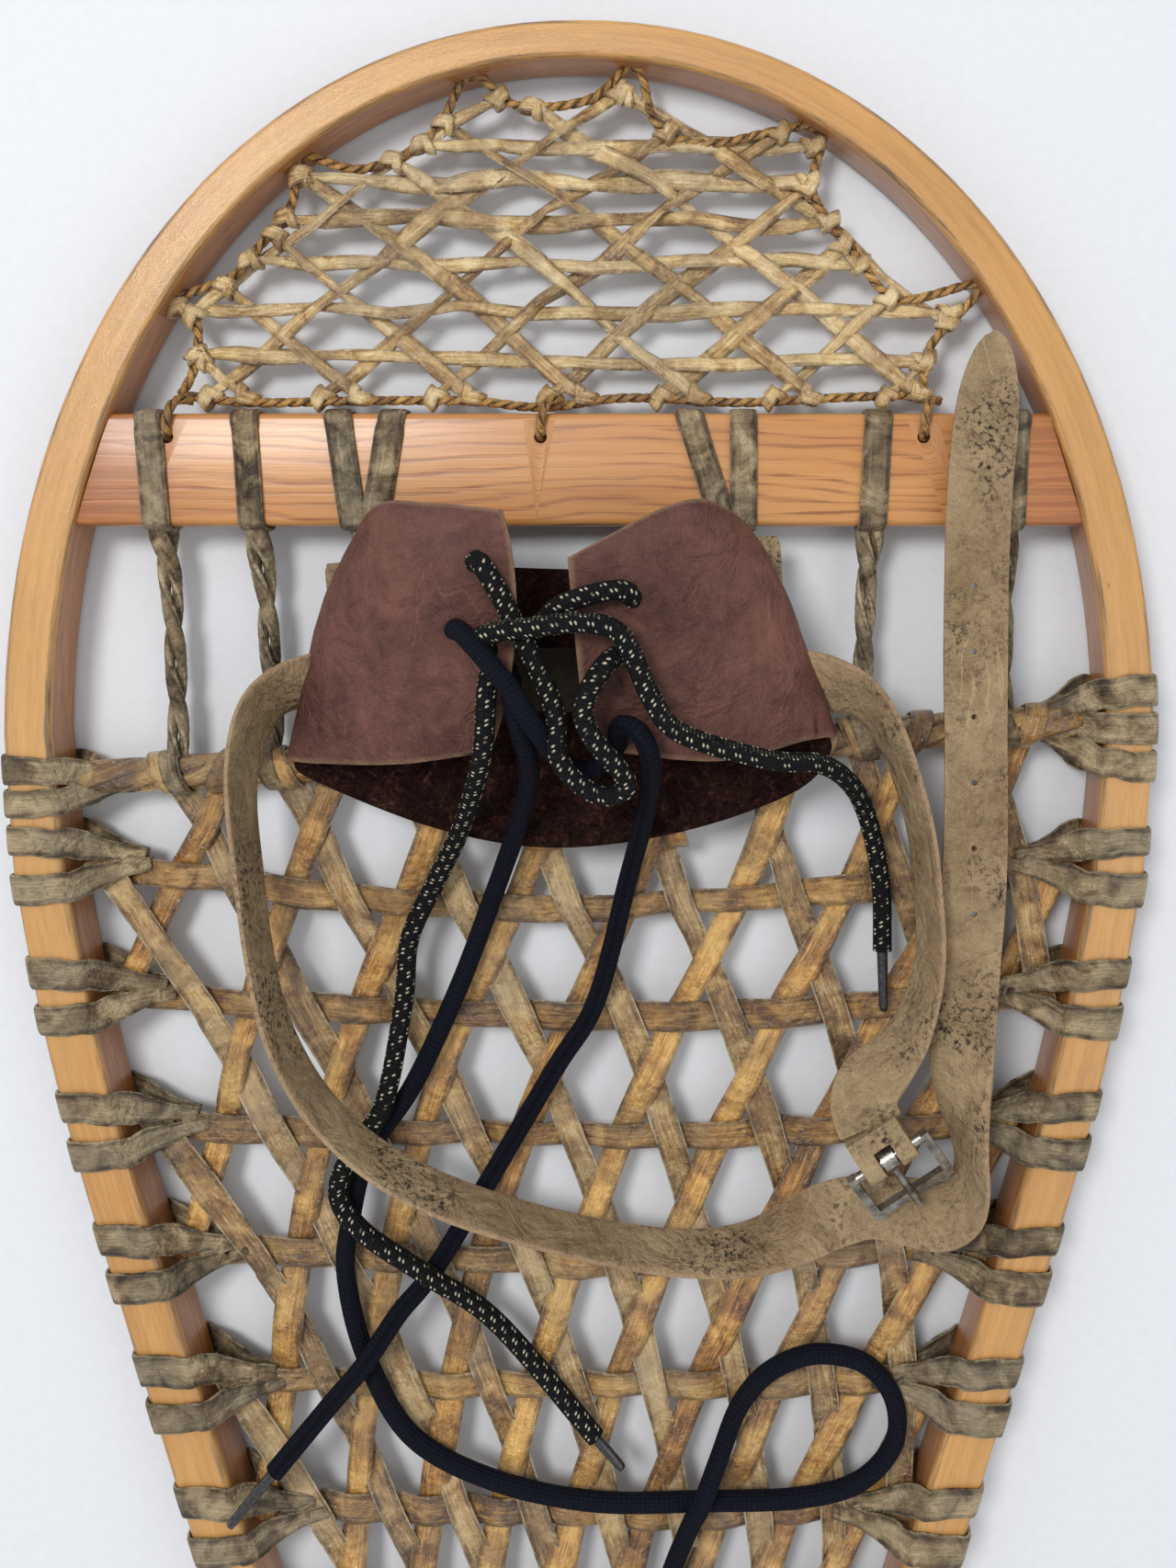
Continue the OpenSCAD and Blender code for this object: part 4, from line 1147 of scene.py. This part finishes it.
def make_lanyard():
    mesh = Mesh("toe_lanyard_cord")
    for line in (LANYARD, LANYARD_FOOT):
        path = resample(catmull([(x, y, CORD_Z) for x, y in line], 6), 1.0)
        twist(mesh, path, LANYARD_D, LANYARD_PITCH, tone=0.45, flat=0.75)
    for x in BAR_HOLES:
        dip = smooth_path([
            (x + 6, 468, 12.5), (x + 2.5, 467.5, 18), (x + 0.6, 463, 20.3),
            (x, 459, 20.2), (x, 456.4, 18.4), (x, 456, 12),
        ], 0.8)
        twist(mesh, dip, LANYARD_D, LANYARD_PITCH, tone=0.4, flat=0.75)
    mesh.build([GUT], node="toe_lanyard")


make_lanyard()


TOE_ROWS = (481.5, 496.5, 511.5, 525, 537.5, 548.5)
TOE_CROSSINGS = (460, 474, 489, 504, 518.2, 531.2, 543, 554, 565)
TOE_PITCH = 35.5
TOE_SHIFT = 13
TAIL_PITCH = 29
TOE_STRIP = 5.4


def toe_slope(k, way):
    """Sloping strip k of one family, meeting the other family midway between the rows."""
    return [(TOE_SHIFT + (k + way * (i - 2) / 2) * TOE_PITCH, y) for i, y in enumerate(TOE_CROSSINGS)]


def web_loop(mesh, place, along, tone):
    """Where a strip goes round the lanyard: a knot of two short bands."""
    along = unit([along[0], along[1], 0])
    centre = np.array([place[0], place[1], CORD_Z], float)
    side = np.array([-along[1], along[0], 0])
    ring_round(mesh, centre, side, 2.7, 4.6, tone, thick=1.2, lean=0.5)
    ring_round(mesh, centre + along * 2.2, along, 2.4, 3.4, tone, thick=1.2, lean=0.6)


def inside(point, polygon):
    x, y = point[:2]
    odd = False
    for (ax, ay), (bx, by) in zip(polygon, polygon[1:] + polygon[:1]):
        if (ay > y) != (by > y) and x < (bx - ax) * (y - ay) / (by - ay) + ax:
            odd = not odd
    return odd


def web_strip(mesh, line, polygon, width, rise, period, kind):
    """One strip of a web, from the lanyard on one side to the lanyard on the other, rolled and uneven."""
    rng = mesh.seed
    path = resample(np.column_stack([line, np.zeros(len(line))]), 1.6)
    kept = np.array([inside(q, polygon) for q in path])
    if kept.sum() < 9:
        return
    path = path[np.argmax(kept):len(kept) - np.argmax(kept[::-1])]
    n = len(path)
    t = tangents(path)
    normal = np.stack([-t[:, 1], t[:, 0], np.zeros(n)], axis=1)
    ease = np.minimum(1, np.minimum(np.arange(n), np.arange(n)[::-1]) / 8)
    z = CORD_Z - 1 + rise * np.cos(2 * math.pi * path[:, kind] / period) * (1 if kind == 0 else -1)
    z = z * ease + (CORD_Z + 1) * (1 - ease)
    path = path + normal * (wobble(rng, n, 1.7) * ease)[:, None]
    path[:, 2] = z
    wide = width * rng.uniform(0.8, 1.15) * (1 + wobble(rng, n, 0.3)) * (0.6 + 0.4 * ease)
    roll = wobble(rng, n, 1.0)
    side = normal * np.cos(roll)[:, None] + np.array([0, 0, 1.0]) * np.sin(roll)[:, None]
    strip(mesh, path, side, wide, 1.5, 0.35, tone=rng.uniform(0.15, 0.9), roundness=0.75,
          start=rng.uniform(0, 400))
    for end, other in ((path[0], path[4]), (path[-1], path[-5])):
        web_loop(mesh, end, other - end, rng.uniform(0.3, 0.8))


def make_toe_web():
    mesh = Mesh("toe_web_strips")
    polygon = [tuple(p) for p in LANYARD] + [(108, 468), (-126, 468)]
    for y in TOE_ROWS:
        web_strip(mesh, np.array([(-140, y + 1), (130, y - 1)]), polygon, TOE_STRIP, 1.2, TOE_PITCH, 0)
    for k in range(-7, 8):
        for way in (-1, 1):
            web_strip(mesh, catmull(toe_slope(k, way), 6), polygon, TOE_STRIP, 1.3 * way, 30, 1)
    mesh.build([PALE_HIDE], node="toe_lacing")


make_toe_web()

TAIL_FOOT_Y = REAR_BAR_Y - BAR_WIDTH / 2 - 3.3
TAIL_KNOTS = [(-43, TAIL_FOOT_Y), (-12, -185), (0, -250), (12, -185), (43, TAIL_FOOT_Y)]


def make_tail_web():
    cord_mesh = Mesh("tail_lanyard_cord")
    loop = TAIL_KNOTS + TAIL_KNOTS[:1]
    path = resample(np.array([(x, y, CORD_Z) for x, y in loop], float), 1.0)
    twist(cord_mesh, path, LANYARD_D, LANYARD_PITCH, tone=0.45, flat=0.75)
    cord_mesh.build([GUT], node="tail_lanyard")
    mesh = Mesh("tail_web_strips")
    for y in range(-96, -210, -16):
        web_strip(mesh, np.array([(-60, y), (60, y)]), TAIL_KNOTS, TOE_STRIP, 1.1, TAIL_PITCH, 0)
    for k in range(-4, 5):
        for way in (-1, 1):
            x = k * TAIL_PITCH
            line = np.array([(x - way * 72, -80), (x + way * 72, -224)])
            web_strip(mesh, line, TAIL_KNOTS, TOE_STRIP, 1.1 * way, TAIL_PITCH, 1)
    mesh.build([AMBER_HIDE], node="tail_lacing")


make_tail_web()


# ---- Toe piece ----

TOE_PIECE_ROWS = [
    [(-20, 432, 50), (-40, 434, 49), (-56, 434, 42), (-66, 424, 30), (-62, 418, 22), (-30, 416, 20.5),
     (0, 415, 20.5), (32, 416, 20.5), (48, 418, 22), (52, 425, 30), (43, 433, 42), (30, 434, 49),
     (-1, 418, 50)],
    [(-16, 398, 51), (-40, 398, 50), (-66, 399, 42), (-79, 394, 28), (-72, 388, 21), (-34, 385, 20.5),
     (0, 385, 20.5), (34, 385, 20.5), (60, 390, 21), (67, 397, 28), (55, 402, 42), (32, 399, 51),
     (1, 396, 52)],
    [(-24, 362, 43), (-50, 358, 41), (-76, 357, 34), (-88, 356, 26), (-80, 349, 20.5), (-44, 335, 20),
     (-8, 329, 20), (32, 334, 20), (68, 347, 20.5), (79, 362, 26), (69, 364, 34), (42, 359, 42),
     (4, 363, 44)],
]
LEATHER_THICK = 2.6
TOE_PIECE_DEPTH = 85


def hash_noise(points, scale, seed):
    """Smooth noise in three dimensions, between -1 and 1."""
    offset = Vector((seed * 7.1, seed * 3.7, seed * 1.3))
    return np.array([noise.noise(Vector(p) * scale + offset) for p in points])


def make_toe_piece():
    a, b, c = (catmull(row, 10) for row in TOE_PIECE_ROWS)
    rows = 46
    grid = []
    for i in range(rows):
        t = i / (rows - 1)
        grid.append(a * (1 - t) * (1 - 2 * t) + b * 4 * t * (1 - t) + c * t * (2 * t - 1))
    g = np.array(grid)
    down = np.gradient(g, axis=0)
    across = np.gradient(g, axis=1)
    normal = unit(np.cross(down, across))
    m = g.shape[1]
    t, u = np.meshgrid(np.linspace(0, 1, rows), np.linspace(0, 1, m), indexing="ij")
    flat = g.reshape(-1, 3)
    dents = hash_noise(flat, 0.035, 3) * 1.5 + hash_noise(flat, 0.11, 5) * 0.5
    inner = np.minimum(np.minimum(t, 1 - t) * 14, np.minimum(u, 1 - u) * 30).clip(0, 1)
    middle = g + normal * (dents.reshape(rows, m) * (0.35 + 0.65 * inner))[..., None]
    middle[..., 2] = np.where((u > 0.33) & (u < 0.67), g[..., 2], middle[..., 2])
    edge = (1 - inner) ** 2
    s = np.stack([u * 330, t * TOE_PIECE_DEPTH, np.full_like(t, 0.5)], axis=-1)
    mesh = Mesh("laced_toe_piece")
    over = middle + normal * LEATHER_THICK / 2
    under = middle - normal * LEATHER_THICK / 2
    first = mesh.add(over.reshape(-1, 3), s.reshape(-1, 3), edge.ravel())
    second = mesh.add(under.reshape(-1, 3), s.reshape(-1, 3), edge.ravel())

    def quad(p, q, r, v, slot):
        mesh.faces.append((p, q, r, v))
        mesh.slots.append(slot)

    for i in range(rows - 1):
        for k in range(m - 1):
            q = i * m + k
            quad(first + q, first + q + 1, first + q + m + 1, first + q + m, 1)
            quad(second + q, second + q + m, second + q + m + 1, second + q + 1, 0)
    for i in range(rows - 1):
        for k in (0, m - 1):
            q = i * m + k
            quad(first + q, first + q + m, second + q + m, second + q, 2)
    for k in range(m - 1):
        for i in (0, rows - 1):
            q = i * m + k
            quad(first + q, first + q + 1, second + q + 1, second + q, 2)
    piece = mesh.build([BURGUNDY, SUEDE, TAN], node="toe_piece")
    flat = (round(float(lengths(b)[-1]) * MM, 3), TOE_PIECE_DEPTH * MM)


make_toe_piece()


def make_thongs():
    mesh = Mesh("toe_piece_ties")
    for x, y, lean in ((-12, 341, 2), (29, 342, -2)):
        loop = smooth_path([
            (x - lean, y - 14, CORD_Z), (x - lean * 0.6, y - 11, 17), (x, y - 6, 19),
            (x + lean * 0.3, y + 2, 16.6), (x + lean * 0.5, y + 5, 13),
        ], 1.2)
        strip(mesh, loop, (1, 0, 0), 7, 1.5, 0.3, tone=0.5)
    mesh.build([AMBER_HIDE], node="toe_piece_thongs")


make_thongs()


def make_toggle(name, node, x, y, width, height, angle):
    mesh = Mesh(name)
    a = math.radians(angle)
    d = np.array([-math.sin(a), math.cos(a), 0])
    path = np.array([np.array([x, y, 16.8 + 0.9 * math.sin(t * 2.2)]) + d * height * (t - 0.5)
                     for t in np.linspace(0, 1, 14)])
    n = len(path)
    wide = width * np.interp(np.arange(n), [0, 2, n - 3, n - 1], [0.8, 1, 1.02, 0.86])
    strip(mesh, path, (math.cos(a), math.sin(a), 0), wide, 2.4, 0.4, tone=0.5, roundness=0.35)
    mesh.build([TAN], node=node)


make_toggle("left_leather_toggle", "left_toggle", -74, 409, 9, 16, 5)
make_toggle("right_leather_toggle", "right_toggle", 57, 415, 12, 20, 4)

# ---- Heel strap and buckle ----

HEEL_ROUTE = [
    (52, 381, 23.4, 0), (20, 381, 23.4, 0), (-20, 381, 23.4, 0), (-58, 381, 23.6, 0),
    (-76, 381, 25.5, 20), (-88, 379, 29, 45), (-96, 372, 30, 62), (-101, 358, 29.5, 76),
    (-102, 343, 28.8, 82), (-100, 322, 28, 84), (-97, 300, 28, 84), (-91, 278, 31, 84),
    (-80, 259, 35, 83), (-66, 244, 36.5, 82), (-50, 233, 36.5, 80), (-31, 224, 35, 80),
    (-8, 216, 32, 80), (14, 210, 29, 78), (34, 206.5, 26.5, 74), (52, 207, 25, 66),
    (66, 211, 23.5, 50), (78, 215.5, 21, 24), (90, 217.5, 19.6, 4), (101, 216.5, 20.2, 12),
    (111, 216, 23.5, 40), (118, 220.5, 25.5, 62), (120.5, 229, 26, 72), (119.5, 239, 26.5, 70),
    (117.5, 251, 27, 52), (117, 265, 27, 28), (118.5, 290, 26.8, 8), (121, 322, 26.6, 0),
    (121.5, 350, 26.6, 0), (121.5, 392, 26.6, 0), (122.5, 434, 26.4, 0), (125, 462, 25.8, 0),
    (128, 488, 25, 0),
]
SHORT_ROUTE = [
    (50, 381, 23.4, 180), (62, 381, 24.5, 172), (76, 380, 27.5, 150), (86, 376, 30, 128),
    (94, 366, 30, 112), (100.5, 350, 29.5, 106), (105, 333, 28, 104), (107, 316, 27, 104),
    (108, 300, 26.5, 104), (106, 286, 26.5, 106), (101.5, 274, 27, 112), (94.5, 265.5, 28.5, 126),
    (88.5, 259.5, 30.5, 146), (86.5, 253.5, 32.3, 168), (88.5, 247.5, 33, 180),
]


STRAP_HOLES = (310, 330, 350, 370, 390, 410)
STRAP_HOLE_D = 1.8


def leaning_sides(path, leans):
    t = tangents(path)
    level = unit(np.stack([t[:, 1], -t[:, 0], np.zeros(len(t))], axis=1))
    up = np.cross(level, t)
    a = np.radians(leans)[:, None]
    return np.cos(a) * level + np.sin(a) * up


def strap_part(mesh, route, tip=False):
    path = smooth_path(route, 2.0)
    leans = path[:, 3]
    path = path[:, :3]
    sides = leaning_sides(path, leans)
    n = len(path)
    width = STRAP_WIDTH * (1 + wobble(mesh.seed, n, 0.03))
    if tip:
        left = lengths(path)[-1] - lengths(path)
        width = width * np.sqrt(np.clip(1 - (1 - np.clip(left / 34, 0, 1)) ** 2.2, 0.004, 1))
    # Points of the strap under the toe piece get the shade tone, painted near black as shade.
    shaded_under_toe = (np.abs(path[:, 0]) < 62) & (path[:, 1] > 366)
    strip(mesh, path, sides, width - 0.3, STRAP_THICK - 0.5, 0.35 * np.sin(lengths(path) / 23),
          tone=np.where(shaded_under_toe, SHADE_UNDER_TOE_TONE, 0.5), roundness=0.28)


def make_strap():
    mesh = Mesh("leather_heel_strap")
    strap_part(mesh, HEEL_ROUTE, tip=True)
    strap_part(mesh, SHORT_ROUTE)
    piece = mesh.build([TAN], node="heel_strap")
    cut_holes(piece, [((120.8, y, 26.6), (0, 0, 1), STRAP_HOLE_D, 12) for y in STRAP_HOLES])


make_strap()


def finish_cad_nodes():
    """Gives the CAD pieces that stay in view their materials."""
    looks = {
        "buckle_frame": STEEL, "buckle_prong": STEEL, "buckle_chape": TAN,
        "front_tail_rivet": RIVET, "rear_tail_rivet": RIVET,
    }
    for node, material in looks.items():
        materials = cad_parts[node].data.materials
        materials.clear()
        materials.append(material)


finish_cad_nodes()

# ---- Stage ----


def make_floor():
    mesh = bpy.data.meshes.new("floor")
    far = 6
    mesh.from_pydata([(-far, -far, 0), (far, -far, 0), (far, far, 0), (-far, far, 0)], [], [(0, 1, 2, 3)])
    mesh.materials.append(floor_look())
    floor = bpy.data.objects.new("floor", mesh)
    bpy.context.scene.collection.objects.link(floor)


def make_light(name, place, target, size, power):
    data = bpy.data.lights.new(name, "AREA")
    data.shape, data.size, data.energy = "DISK", size, power
    light = bpy.data.objects.new(name, data)
    light.location = place
    light.rotation_euler = (Vector(target) - Vector(place)).to_track_quat("-Z", "Y").to_euler()
    bpy.context.scene.collection.objects.link(light)


def make_world():
    world = bpy.data.worlds.new("studio")
    world.use_nodes = True
    world.node_tree.nodes["Background"].inputs["Color"].default_value = (0.93, 0.96, 1, 1)
    world.node_tree.nodes["Background"].inputs["Strength"].default_value = 0.66
    bpy.context.scene.world = world


make_floor()
make_light("key", (-0.62, 0.95, 1.75), (0, 0.3, 0), 0.6, 19)
make_light("fill", (1.4, -0.2, 1.8), (0, 0.2, 0), 1.6, 6)
make_world()
bpy.context.scene.view_settings.view_transform = "Standard"
